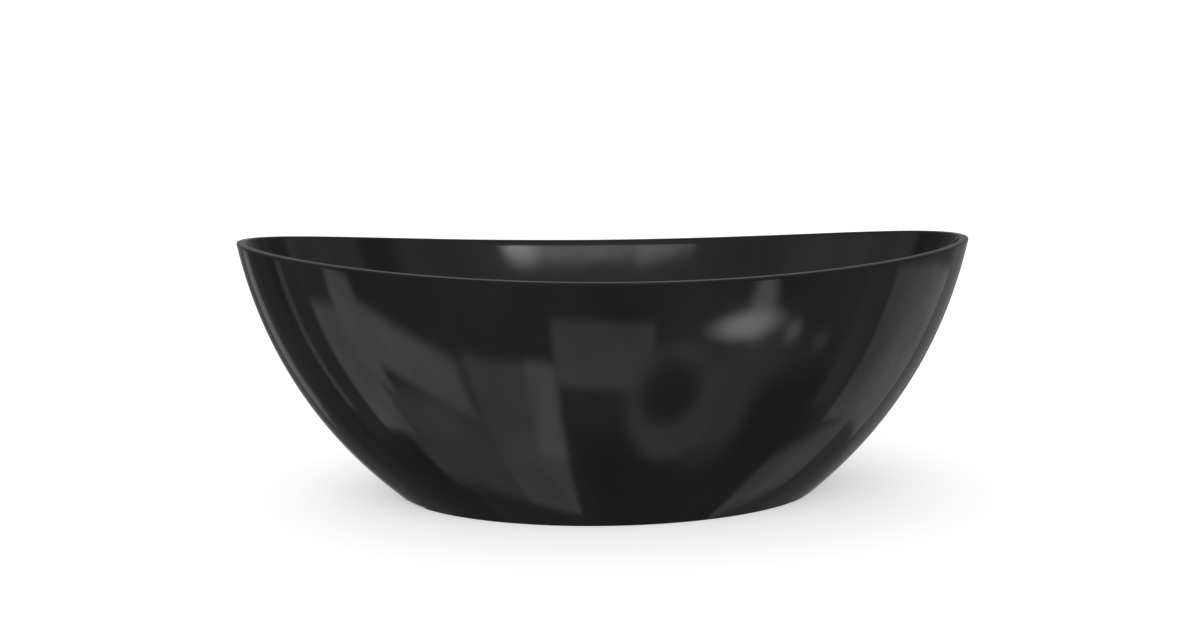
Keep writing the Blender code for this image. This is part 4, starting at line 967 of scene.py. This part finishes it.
def make_waste_seals():
    """Rubber washers above and below the basin's floor."""
    for name, node in (("upper_rubber_washer", "waste_top_seal"),
                       ("lower_rubber_washer", "waste_bottom_seal")):
        low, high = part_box(node)
        inner = TAIL_RADIUS + 0.0008
        seal = rounded_washer(name, inner, high[0], low[2], high[2])
        dress(seal, RUBBER, "black_rubber", "tub", node)


def make_clicker():
    """Turned brass barrel that hangs in the cross, with a knurled shoulder and a rolled lip."""
    barrel = turned("barrel", [
        (0, CLICKER_BASE + 0.002), (0.0065, CLICKER_BASE + 0.002), (0.0065, SHOULDER_BASE - 0.0023),
        (STEM_RADIUS + 0.0005, SHOULDER_BASE - 0.0023), (STEM_RADIUS + 0.0005, 0.1199),
        (STEM_RADIUS + 0.0009, 0.1203), (0.0098, 0.1203), (0.0102, 0.1199), (0.0102, 0.1178),
        (0.0098, 0.1174), (0.0078, 0.1174), (0.0078, 0.1160), (0.0074, 0.1156), (0.0074, 0.1146),
        (0.0078, 0.1142), (0.0080, 0.1136), (0.0080, CLICKER_BASE + 0.0008),
        (0.0074, CLICKER_BASE), (0, CLICKER_BASE),
    ], 72)
    soften(barrel, 0.00015, 2, 40)
    clicker = with_ribs("brass_clicker", barrel, (0.0010, 0.0006, 0.0019), (0.0102, 0, 0.11885),
                        0.0002, 40, segments=1)
    dress(clicker, BRASS, "brass", "tub", "clicker_body")


def make_spring():
    """Compression spring with closed, ground ends."""
    low, high = SPRING_BASE + SPRING_WIRE, SPRING_TOP - SPRING_WIRE
    closed_pitch, per_turn = 0.0009, 24
    climb = high - low - 2 * CLOSED_TURNS * closed_pitch
    points = []
    for step in range(int(SPRING_TURNS * per_turn) + 1):
        turn = step / per_turn
        open_share = min(1.0, max(0.0, (turn - CLOSED_TURNS) / (SPRING_TURNS - 2 * CLOSED_TURNS)))
        closed = min(turn, CLOSED_TURNS) + max(0.0, turn - SPRING_TURNS + CLOSED_TURNS)
        angle = FULL_TURN * turn
        points.append(Vector((SPRING_RADIUS * math.cos(angle), SPRING_RADIUS * math.sin(angle),
                              low + closed_pitch * closed + climb * open_share)))
    spring = smooth(swept("clicker_coil", points, [SPRING_WIRE] * len(points), 10), 60)
    dress(spring, SPRING_STEEL, "galvanised_steel", None, "clicker_spring")
    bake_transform(spring)


def make_plug():
    """Domed chrome cap with a rolled edge, its seal and its brass stem."""
    edge = PLUG_BASE + 0.0023
    dome = [(PLUG_RADIUS * math.sin(a), edge + 0.003 * math.cos(a))
            for a in np.radians(np.linspace(0, 84, 18))]
    dome[0] = (0, PLUG_TOP)
    socket = STEM_RADIUS + 0.0003
    cap = turned("plug_dome", dome + [
        (PLUG_RADIUS, edge - 0.0002), (PLUG_RADIUS, PLUG_BASE + 0.0008),
        (PLUG_RADIUS - 0.0003, PLUG_BASE + 0.0002), (PLUG_RADIUS - 0.0009, PLUG_BASE),
        (0.0108, PLUG_BASE), (0.0100, PLUG_BASE - 0.0002), (0.0100, PLUG_BASE - 0.0110),
        (0.0093, PLUG_BASE - 0.0117), (socket + 0.0005, PLUG_BASE - 0.0117),
        (socket, PLUG_BASE - 0.0112), (socket, PLUG_BASE - 0.0024), (0, PLUG_BASE - 0.0024),
    ], 128)
    dress(smooth(cap, 40), CHROME, "chrome", "plug", "plug_cap")
    low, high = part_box("plug_seal")
    lip = turned("plug_lip_seal", [
        (SEAL_HOLE, low[2]), (0.0268, low[2]), (0.0280, low[2] + 0.0002), (0.0285, low[2] + 0.0008),
        (0.0285, high[2] - 0.0006), (0.0279, high[2]), (SEAL_HOLE, high[2]),
    ], 96, closed=True)
    dress(smooth(lip, 40), RUBBER, "black_rubber", "plug", "plug_seal")
    low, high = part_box("plug_stem")
    foot = low[2] + 0.003
    stem = turned("plug_spindle", [
        (0, high[2]), (0.0034, high[2]), (STEM_RADIUS, high[2] - 0.0006),
        (STEM_RADIUS, 0.1265), (0.0035, 0.1260), (0.0035, 0.1250), (STEM_RADIUS, 0.1245),
        (STEM_RADIUS, foot + 0.0006), (0.0044, foot), (0.0056, foot), (0.0060, foot - 0.0004),
        (0.0060, low[2] + 0.0004), (0.0056, low[2]), (0, low[2]),
    ], 48)
    dress(smooth(stem, 35), BRASS, "brass", "plug", "plug_stem")


# ---- Trap and outlet -------------------------------------------------------------------------------
TRAP_TOP, TRAP_END = 0.1184, 0.0218
OUTLET_HEIGHT, OUTLET_REACH, OUTLET_BORE = 0.063, 0.062, 0.0165
PIPE_RADIUS, SOCKET_RADIUS = 0.0193, 0.0227
SPIGOT_HEIGHT, SPIGOT_REACH, HOSE_RADIUS, HOSE_BORE = 0.0945, 0.060, 0.0095, 0.007
PIPE_BEND, PIPE_FIT = 0.040, 0.0197
X_WAY = Matrix.Rotation(math.pi / 2, 4, "Y")  # turns a piece that stands up to point along +X


def make_trap_body():
    """Moulded trap: collar with grips, threaded skirt, outlet socket and overflow branch."""
    dip_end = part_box("trap_body")[0][2]
    body = turned("body", [
        (0, TRAP_TOP), (0.0392, TRAP_TOP), (0.0400, TRAP_TOP - 0.0008), (0.0400, 0.1132),
        (0.0392, 0.1124), (0.0384, 0.1122), (0.0345, 0.1070), (0.0340, 0.1060),
        (0.0340, 0.0420), (0.0334, 0.0412), (0.0334, TRAP_END + 0.0008), (0.0328, TRAP_END),
        (0.0305, TRAP_END), (0.0305, 0.0830), (0.0205, 0.0830), (0.0205, dip_end + 0.0006),
        (0.0199, dip_end), (0, dip_end),
    ], 120)
    outlet = rod("outlet", SOCKET_RADIUS, (0.024, 0, OUTLET_HEIGHT), (OUTLET_REACH, 0, OUTLET_HEIGHT),
                 96)
    branch = rod("branch", HOSE_RADIUS, (0, -0.029, SPIGOT_HEIGHT),
                 (0, -SPIGOT_REACH, SPIGOT_HEIGHT), 64)
    combine(body, [outlet, branch], "UNION")
    ways = [
        turned("tail_way", [(0, 0.13), (0.0239, 0.13), (0.0239, 0.0850), (0.0180, 0.0850),
                            (0.0180, dip_end - 0.01), (0, dip_end - 0.01)], 96),
        rod("outlet_way", OUTLET_BORE, (0.0235, 0, OUTLET_HEIGHT), (0.08, 0, OUTLET_HEIGHT), 96),
        rod("outlet_socket", PIPE_FIT, (OUTLET_REACH - 0.012, 0, OUTLET_HEIGHT),
            (0.08, 0, OUTLET_HEIGHT), 96),
        rod("overflow_way", HOSE_BORE, (0, -0.018, SPIGOT_HEIGHT), (0, -0.08, SPIGOT_HEIGHT), 64),
    ]
    combine(body, ways, "DIFFERENCE")
    soften(close_up(body), 0.0004, 2, 40)
    trap = with_ribs("bottle_trap", body, (0.0040, 0.0022, 0.0060), (0.0366, 0, 0.1085), 0.0005, 16,
                     offset=0.5)
    dress(trap, GREY_PLASTIC, "grey_plastic", "tub", "trap_body")


def make_trap_cup():
    """Screw-off cup: a rounded base with a coin slot and grip ribs round its side."""
    low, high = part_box("trap_cup")
    base, top, outer = low[2], high[2], high[0]
    wall = turned("wall", [
        (0, base + 0.004), (0.0300, base + 0.004), (0.0305, base + 0.0045), (0.0305, base + 0.0135),
        (0.0344, base + 0.0135), (0.0344, top - 0.0005), (0.0349, top), (outer - 0.0016, top),
        (outer - 0.0010, top - 0.0006), (outer - 0.0010, base + 0.0036),
        (outer - 0.0020, base + 0.0014), (outer - 0.0040, base), (0, base),
    ], 120)
    slot = block("slot", (0.030, 0.0026, 0.0036), (0, 0, base))
    combine(wall, [slot], "DIFFERENCE")
    smooth(wall, 40)
    cup = with_ribs("trap_screw_cup", wall, (0.0020, 0.0032, top - base - 0.010),
                    (outer - 0.0011, 0, (top + base) / 2 + 0.0015), 0.0008, 28)
    dress(cup, GREY_PLASTIC, "grey_plastic", "tub", "trap_cup")
    low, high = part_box("trap_cup_seal")
    seal = rounded_washer("cup_rubber_ring", 0.0308, high[0], low[2], high[2], 0.0005)
    dress(seal, RUBBER, "black_rubber", "tub", "trap_cup_seal")


def make_outlet():
    """Outlet seal, ribbed compression nut and the bent pipe to the floor drain."""
    low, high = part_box("trap_outlet_seal")
    length = high[0] - low[0]
    seal = rounded_washer("outlet_rubber_ring", PIPE_FIT, SOCKET_RADIUS, 0, length, 0.0007)
    placed(seal, at(low[0], 0, OUTLET_HEIGHT) @ X_WAY)
    dress(seal, RUBBER, "black_rubber", "tub", "trap_outlet_seal")

    low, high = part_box("trap_outlet_nut")
    length, outer = high[0] - low[0], high[1]
    nut = turned("nut", [
        (0.0231, 0), (outer - 0.0020, 0), (outer - 0.0012, 0.0008), (outer - 0.0012, length - 0.0046),
        (outer - 0.0030, length - 0.0006), (outer - 0.0036, length), (0.0199, length),
        (PIPE_FIT, length - 0.0003), (PIPE_FIT, length - 0.004), (0.0231, length - 0.004),
    ], 96, closed=True)
    smooth(nut, 40)
    nut = with_ribs("outlet_compression_nut", nut, (0.0022, 0.0026, length - 0.0070),
                    (outer - 0.0012, 0, length / 2 - 0.0022), 0.0007, 18)
    placed(nut, at(low[0], 0, OUTLET_HEIGHT) @ X_WAY)
    dress(nut, GREY_PLASTIC, "grey_plastic", "tub", "trap_outlet_nut")

    low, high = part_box("outlet_elbow")
    start_x, end_x = low[0] + 0.0002, high[0] - PIPE_RADIUS
    route = [Vector((start_x, 0, OUTLET_HEIGHT)), Vector((start_x + 0.0198, 0, OUTLET_HEIGHT))]
    for angle in np.radians(np.linspace(0, 90, 25)):
        route.append(Vector((end_x - PIPE_BEND * (1 - math.sin(angle)), 0,
                             OUTLET_HEIGHT - PIPE_BEND * (1 - math.cos(angle)))))
    route.append(Vector((end_x, 0, low[2] + 0.0002)))
    outer, inner = (route_rings(route, [radius] * len(route), Vector((0, 1, 0)), 64)
                    for radius in (PIPE_RADIUS, OUTLET_BORE))
    rings = outer + inner[::-1] + [outer[0]]
    pipe = soften(lofted("outlet_bend", rings), 0.0007, 2, 50)
    dress(pipe, GREY_PLASTIC, "grey_plastic", "tub", "outlet_elbow")


# ---- Overflow --------------------------------------------------------------------------------------
HOSE_NUT_LENGTH, HOSE_NUT_RADIUS, HOSE_LEAD, HOSE_BEND = 0.018, 0.013, 0.020, 0.085
PLATE_RADIUS = 0.0325
HOUSING_RADIUS, HOUSING_DEPTH, FLANGE_RADIUS = 0.0265, 0.015, 0.030
HOSE_CUFF, HOSE_RING_PITCH, HOSE_RING_DEPTH, RING_POINTS = 0.016, 0.0036, 0.0016, 6
SPIGOT_DROP = 0.048  # from the overflow's middle to the end of its spigot


def gap_middle(height):
    """Point midway between the basin and the skirt at the overflow's side, at a height."""
    t_values = np.linspace(0, 1, SAMPLES)
    hidden = behind_basin(np.full(SAMPLES, FRONT), t_values)
    basin_y = np.interp(height, hidden[:, 2], hidden[:, 1])
    skirt_y = behind_outside(np.float64(FRONT), height, SKIRT_WALL)[1]
    return Vector((0, (basin_y + skirt_y) / 2, height))


def depths_along(node):
    """Lowest and highest place of a node's points along the overflow's own axis."""
    axis, start = OVERFLOW.to_3x3().col[2], OVERFLOW.translation
    heights = [(vertex.co - start).dot(axis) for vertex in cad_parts[node].data.vertices]
    return min(heights), max(heights)


def make_overflow_cover():
    """Domed chrome plate with a rolled rim, a water slot at its foot and a countersunk screw."""
    base, top = depths_along("overflow_plate")
    crown, edge = top - base, PLATE_RADIUS
    plate = turned("overflow_cover", [
        (0.0048, crown - 0.0001), (0.0150, crown - 0.0002), (0.0228, crown - 0.0006),
        (edge - 0.0038, crown - 0.0013), (edge - 0.0018, crown - 0.0022), (edge - 0.0005, crown - 0.0036),
        (edge, crown - 0.0052), (edge, 0.0004), (edge - 0.0004, 0), (edge - 0.0016, 0),
        (edge - 0.0020, 0.0004), (edge - 0.0020, crown - 0.0052), (edge - 0.0034, crown - 0.0038),
        (0.0220, crown - 0.0026), (0.0027, crown - 0.0026), (0.0027, crown - 0.0021),
    ], 128, closed=True)
    smooth(plate, 35)
    slot = block("slot", (0.026, 0.010, 0.006), (0, edge, 0))
    soften(slot, 0.0012, 3, 30)
    combine(plate, [slot], "DIFFERENCE")
    placed(plate, OVERFLOW @ at(0, 0, base))
    dress(plate, CHROME, "chrome", "tub", "overflow_plate")

    low, high = depths_along("overflow_screw")
    length = high - low
    screw = turned("screw", [
        (0, length), (0.0040, length), (0.0045, length - 0.0003), (0.0024, length - 0.0024),
        (0.0023, length - 0.0030), (0.0023, 0.0095), (0, 0.0095),
    ], 48)
    combine(screw, cross(0.0052, 0.0010, 0.0024, length), "DIFFERENCE")
    core, pitch = 0.0018, 0.0008
    thread = threaded("thread", core, 0.0024, pitch, 0.0008, 0.0096, 18)
    tip = turned("tip", [(0, 0.0009), (core, 0.0009), (0.0012, 0), (0, 0)], 24)
    screw = joined("cover_screw", [smooth(screw, 30), smooth(thread, 30), smooth(tip, 30)])
    placed(screw, OVERFLOW @ at(0, 0, low))
    dress(screw, CHROME, "chrome", "tub", "overflow_screw")


def make_overflow_gasket():
    """Rubber ring between the wall and the housing."""
    low, high = depths_along("overflow_gasket")
    gasket = rounded_washer("overflow_rubber_ring", 0.0240, FLANGE_RADIUS, low, high, 0.0005)
    dress(placed(gasket, OVERFLOW), RUBBER, "black_rubber", "tub", "overflow_gasket")


def make_overflow_housing():
    """Low round housing behind the wall, with a spigot for the hose. Gives the spigot's end and way."""
    face = depths_along("overflow_gasket")[0] - 0.0003
    back = face - HOUSING_DEPTH
    outer = FLANGE_RADIUS
    housing = turned("overflow_housing", [
        (0, face - 0.0010), (0.0240, face - 0.0010), (0.0246, face), (outer - 0.0006, face),
        (outer, face - 0.0006), (outer, face - 0.0019), (outer - 0.0006, face - 0.0025),
        (HOUSING_RADIUS + 0.0004, face - 0.0025), (HOUSING_RADIUS, face - 0.0030),
        (HOUSING_RADIUS, back + 0.0020), (HOUSING_RADIUS - 0.0006, back + 0.0006),
        (HOUSING_RADIUS - 0.0020, back), (0, back),
    ], 96)
    placed(housing, OVERFLOW)
    end = gap_middle(OVERFLOW_HEIGHT - SPIGOT_DROP)
    up = (gap_middle(end.z + HOSE_LEAD) - end).normalized()
    branch_top = end + up * (SPIGOT_DROP - 0.006)
    combine(housing, [rod("branch", HOSE_RADIUS, branch_top, end, 64)], "UNION")
    inner = HOUSING_RADIUS - 0.0022
    hollow = turned("hollow", [
        (inner, face + 0.01), (inner, back + 0.0022), (0.0055, back + 0.0022), (0.0055, face + 0.01),
    ], 96, closed=True)
    bore = rod("bore", 0.0027, (0, 0, depths_along("overflow_screw")[0] - 0.0003),
               (0, 0, face + 0.01))
    way = rod("way", HOSE_BORE, branch_top - up * 0.0022, end - up * 0.01, 64)
    combine(housing, [placed(hollow, OVERFLOW), placed(bore, OVERFLOW), way], "DIFFERENCE")
    soften(close_up(housing), 0.0003, 1, 50)
    dress(housing, BLACK_PLASTIC, "black_plastic", "tub", "overflow_body")
    return end, up


def make_hose(end, up):
    """Corrugated hose: plain cuffs at both ends and rounded rings along the rest of the route."""
    start = Vector((0, -SPIGOT_REACH - 0.0003, SPIGOT_HEIGHT))
    top = end - up * 0.0003
    climb = [gap_middle(height) for height in np.linspace(0.62, 0.88, 3) * top.z]
    along_gap = (climb[1] - climb[0]).normalized()
    corner = climb[0] - along_gap * (climb[0].z - start.z) / along_gap.z
    slope = math.atan2(along_gap.z, -along_gap.y)
    bend_start = corner + Vector((0, HOSE_BEND * math.tan(slope / 2), 0))
    bend = []
    for share in (0, 1 / 3, 2 / 3, 1):
        angle = slope * share
        turned_by = Vector((0, -math.sin(angle), 1 - math.cos(angle)))
        bend.append(bend_start + HOSE_BEND * turned_by)
    level = [start, start - Vector((0, HOSE_LEAD, 0)), (start + bend[0]) / 2]
    route = smooth_path(level + bend + climb + [top - up * HOSE_LEAD, top], 40)

    lengths = np.concatenate([[0], np.cumsum([(b - a).length for a, b in zip(route, route[1:])])])
    whole, cuff = lengths[-1], HOSE_CUFF
    ring_steps = int((whole - 2 * cuff) / HOSE_RING_PITCH) * RING_POINTS
    places = np.concatenate([
        np.linspace(0, cuff, 4)[:-1],
        np.linspace(cuff, whole - cuff, ring_steps + 1),
        np.linspace(whole - cuff, whole, 4)[1:],
    ])
    columns = np.array([list(point) for point in route])
    points = [Vector([np.interp(place, lengths, columns[:, axis]) for axis in range(3)])
              for place in places]
    radii = []
    for step in range(-3, len(points) - 3):
        wave = 0.5 - 0.5 * math.cos(FULL_TURN * step / RING_POINTS)
        on_rings = 0 < step < ring_steps
        radii.append(HOSE_RADIUS - (HOSE_RING_DEPTH * (1 - wave) if on_rings else 0.0006))
    hose = smooth(swept("overflow_bellows_hose", points, radii, 32), 60)
    dress(hose, BLACK_PLASTIC, "black_plastic", "tub", "overflow_hose")

    half, outer, bore = HOSE_NUT_LENGTH / 2, HOSE_NUT_RADIUS, HOSE_RADIUS + 0.0003
    for name, node, middle, axis in (
        ("upper_hose_nut", "overflow_hose_nut_top", end, up),
        ("lower_hose_nut", "overflow_hose_nut_bottom", start, Vector((0, -1, 0))),
    ):
        sleeve = smooth(turned("sleeve", [
            (bore, -half), (outer - 0.0016, -half), (outer - 0.0008, 0.0008 - half),
            (outer - 0.0008, half - 0.0030), (outer - 0.0020, half - 0.0004), (outer - 0.0024, half),
            (bore, half),
        ], 72, closed=True), 40)
        nut = with_ribs(name, sleeve, (0.0016, 0.0018, HOSE_NUT_LENGTH - 0.0056),
                        (outer - 0.0009, 0, -0.0012), 0.0005, 16)
        placed(nut, at(*middle) @ UP.rotation_difference(axis).to_matrix().to_4x4())
        dress(nut, GREY_PLASTIC, "grey_plastic", "tub", node)


make_waste()
make_waste_seals()
make_clicker()
make_spring()
make_plug()
make_trap_body()
make_trap_cup()
make_outlet()
make_overflow_cover()
make_overflow_gasket()
make_hose(*make_overflow_housing())

# ---- Studio --------------------------------------------------------------------------------------
FLOOR_GLOW, ROOM_LIGHT, BACKDROP = 0.48, 0.83, 1.25
CAMERA_PLACE, CAMERA_WAY, CAMERA_LENS = (-0.268, -2.860, 0.910), (0.0845, 0.9821, -0.1686), 37.06
# What gloss sees of the room, painted in order over a dim grey: azimuth and elevation of the
# middle, half width and half height, rise along the width, soft edge (all degrees), brightness.
# Azimuth is 0 in front of the tub and grows towards the drain's outlet end. ROUND_PANELS are ovals.
ROUND_PANELS = {"right_lamp_glow", "right_lamp_shade", "right_highlight", "right_highlight_top",
                "right_spot", "right_faint_spot", "right_cloud", "upper_lamp_end"}
ROOM_PANELS = {
    "left_floor_shade": (-90, -58, 32, 12, 0.0, 4.0, 0.18),
    "left_corner_shade": (-125, -33, 32, 22, 0.0, 3.0, 0.18),
    "left_low_wash": (-39, -44, 26, 10, 0.0, 3.0, 0.62),
    "left_tall_panel": (-68, -33, 8, 11, 0.0, 1.6, 1.05),
    "left_panel_peak": (-60, -25, 4.5, 9, -0.3, 1.6, 1.10),
    "left_wedge": (-47, -27.5, 16.5, 5, -0.25, 1.6, 1.05),
    "front_wash": (-18.5, -40, 10.5, 14.5, 0.0, 1.2, 0.80),
    "front_tall_strip": (-11.5, -33, 3.2, 8, 0.0, 1.2, 1.10),
    "front_window": (2, -23.5, 10, 4.5, 0.0, 0.8, 0.78),
    "right_floor_shade": (28, -48, 30, 11, 0.0, 4.0, 0.20),
    "right_cloud": (32, -30, 17, 10, 0.0, 6.0, 0.52),
    "right_lamp_glow": (18, -31, 11, 9.5, 0.0, 2.0, 0.60),
    "right_lamp_shade": (16.5, -29, 6.5, 5, 0.0, 2.0, 0.25),
    "right_shade": (52, -38, 14, 10, 0.0, 4.0, 0.20),
    "right_band": (65, -25, 5, 10, 0.0, 1.5, 0.36),
    "right_highlight_top": (33.5, -17.5, 2.6, 4.0, 0.0, 1.6, 1.5),
    "right_highlight": (31, -19.9, 6.5, 1.5, 0.0, 1.0, 3.2),
    "right_spot": (42, -21.6, 1.8, 1.4, 0.0, 1.0, 1.5),
    "right_faint_spot": (51, -23.8, 2.4, 1.5, 0.0, 1.0, 0.65),
    "right_edge_window": (128, -22, 14, 14, 0.0, 2.0, 0.36),
    "right_window": (93.5, -26.5, 21.5, 11.5, 0.0, 1.0, 0.72),
    "right_low_panel": (76, -47, 17, 7.0, 0.25, 2.5, 0.62),
    "left_edge_strip": (-90, -28, 2, 12, 0.0, 0.8, 0.60),
    "left_back_panel": (-131.5, -23, 6, 11, 0.0, 2.0, 0.55),
    "back_window": (165, -28, 12, 13, 0.0, 1.5, 0.70),
    "back_strip": (-168, -36, 4, 16, 0.0, 1.5, 0.85),
    "upper_walls": (0, 17, 200, 12, 0.0, 5.0, 0.55),
    "upper_right_shade": (45, 17, 6, 8, 0.0, 3.0, 0.30),
    "upper_back_right": (150, 17, 55, 13, 0.0, 4.0, 0.24),
    "upper_back_left": (-150, 17, 55, 13, 0.0, 4.0, 0.24),
    "upper_lamp": (4, 15.2, 12, 0.6, 0.0, 0.4, 2.4),
    "upper_lamp_right": (-5, 15.8, 4, 0.5, 0.0, 0.4, 2.6),
    "upper_lamp_end": (15.5, 15.3, 2.5, 0.8, 0.0, 0.4, 5.2),
}


def choose(tree, share, first, second):
    """One shader or the other, by a share."""
    node = add(tree, "MixShader")
    for socket, value in zip(node.inputs, (share, first.outputs[0], second.outputs[0])):
        tree.links.new(value, socket)
    return node


def make_floor():
    """Pale floor that glows a little, as a lit sweep does. Gloss doesn't see it, and it is clear
    from below."""
    begin()
    bpy.ops.mesh.primitive_plane_add(size=60, location=(0, 0, -0.0002))
    floor = new_piece("studio_floor")
    material, tree, shader, _ = new_finish("pale_floor", (0.84, 0.84, 0.84), 0.9)
    feed(tree, shader, Specular_IOR_Level=0.0, Emission_Color=grey(1.0), Emission_Strength=FLOOR_GLOW)
    below = add(tree, "NewGeometry").outputs["Backfacing"]
    surface = choose(tree, below, shader, add(tree, "BsdfTransparent"))
    feed(tree, tree.nodes["Material Output"], Surface=surface.outputs[0])
    floor.data.materials.append(material)
    floor.visible_glossy = False


PANEL_INPUTS = ("Middle azimuth", "Middle elevation", "Half width", "Half height", "Rise",
                "Soft edge", "Brightness", "Round", "Azimuth", "Elevation", "Below")


def make_panel_group():
    """One soft-edged panel of the room, laid over the brightness below it."""
    group, given, result = new_group(
        "room_panel", [(name, "Float") for name in PANEL_INPUTS], [("Radiance", "Float")]
    )
    soft, round_share = given["Soft edge"], given["Round"]
    halves = given["Half width"], given["Half height"]

    def work(operation, *values):
        return calculate(group, operation, *values)

    across = work("SUBTRACT", given["Azimuth"], given["Middle azimuth"])
    lift = work("MULTIPLY", across, given["Rise"])
    upward = work("SUBTRACT", work("SUBTRACT", given["Elevation"], given["Middle elevation"]), lift)
    shares, squares = [], []
    for distance, half in zip((across, upward), halves):
        shares.append(remap(group, work("ABSOLUTE", distance), work("SUBTRACT", half, soft),
                            work("ADD", half, soft), 1.0, 0.0, interpolation_type="SMOOTHSTEP"))
        part = work("DIVIDE", distance, half)
        squares.append(work("MULTIPLY", part, part))
    square = work("MULTIPLY", *shares)
    reach = work("SQRT", work("ADD", *squares))
    past = work("MULTIPLY", work("SUBTRACT", reach, 1.0), work("MINIMUM", *halves))
    oval = remap(group, past, work("MULTIPLY", soft, -1.0), soft, 1.0, 0.0,
                 interpolation_type="SMOOTHSTEP")
    rounding = work("MULTIPLY", round_share, work("SUBTRACT", oval, square))
    cover = work("ADD", square, rounding)
    change = work("MULTIPLY", cover, work("SUBTRACT", given["Brightness"], given["Below"]))
    feed(group, result, Radiance=work("ADD", given["Below"], change))
    return group


def make_world():
    """White backdrop and even light. In reflections it is a dim room with bright panels."""
    world = bpy.data.worlds.new("studio")
    bpy.context.scene.world = world
    world.use_nodes = True
    tree = world.node_tree

    def work(operation, *values):
        return calculate(tree, operation, *values)

    direction = add(tree, "TexCoord").outputs["Generated"]
    parts = add(tree, "SeparateXYZ", Vector=direction).outputs
    azimuth = work("DEGREES", work("ARCTAN2", parts["X"], work("MULTIPLY", parts["Y"], -1.0)))
    elevation = work("DEGREES", work("ARCSINE", parts["Z"]))
    radiance = remap(tree, elevation, -60.0, 60.0, 0.24, 0.40)
    panel_group = make_panel_group()
    for name, numbers in ROOM_PANELS.items():
        values = (*numbers, float(name in ROUND_PANELS), azimuth, elevation, radiance)
        panel = add(tree, "Group", node_tree=panel_group, label=name)
        for socket, value in zip(panel.inputs, values):
            fill(tree, socket, value)
        radiance = panel.outputs["Radiance"]
    clouds = remap(tree, noise(tree, direction, 4.0, 3.0), 0.3, 0.7, 0.8, 1.2)
    room = add(tree, "Background", Color=work("MULTIPLY", radiance, clouds))

    light = tree.nodes["Background"]
    from_above = work("ADD", 0.25, work("MULTIPLY", 1.12, work("MAXIMUM", parts["Z"], 0.0)))
    from_left = work("SUBTRACT", 1.0, work("MULTIPLY", 0.35, parts["X"]))
    feed(tree, light, Color=work("MULTIPLY", from_above, from_left), Strength=ROOM_LIGHT)
    backdrop = add(tree, "Background", Color=grey(1.0), Strength=BACKDROP)
    rays = add(tree, "LightPath").outputs
    shader = choose(tree, rays["Is Glossy Ray"], light, room)
    shader = choose(tree, rays["Is Camera Ray"], shader, backdrop)
    feed(tree, tree.nodes["World Output"], Surface=shader.outputs[0])


def make_camera():
    camera = bpy.data.cameras.new("camera")
    camera.sensor_width = 36
    camera.lens = CAMERA_LENS
    holder = bpy.data.objects.new("camera", camera)
    bpy.context.scene.collection.objects.link(holder)
    holder.location = CAMERA_PLACE
    holder.rotation_euler = Vector(CAMERA_WAY).to_track_quat("-Z", "Y").to_euler()
    bpy.context.scene.camera = holder


make_floor()
make_world()
make_camera()
bpy.context.scene.view_settings.view_transform = "Standard"
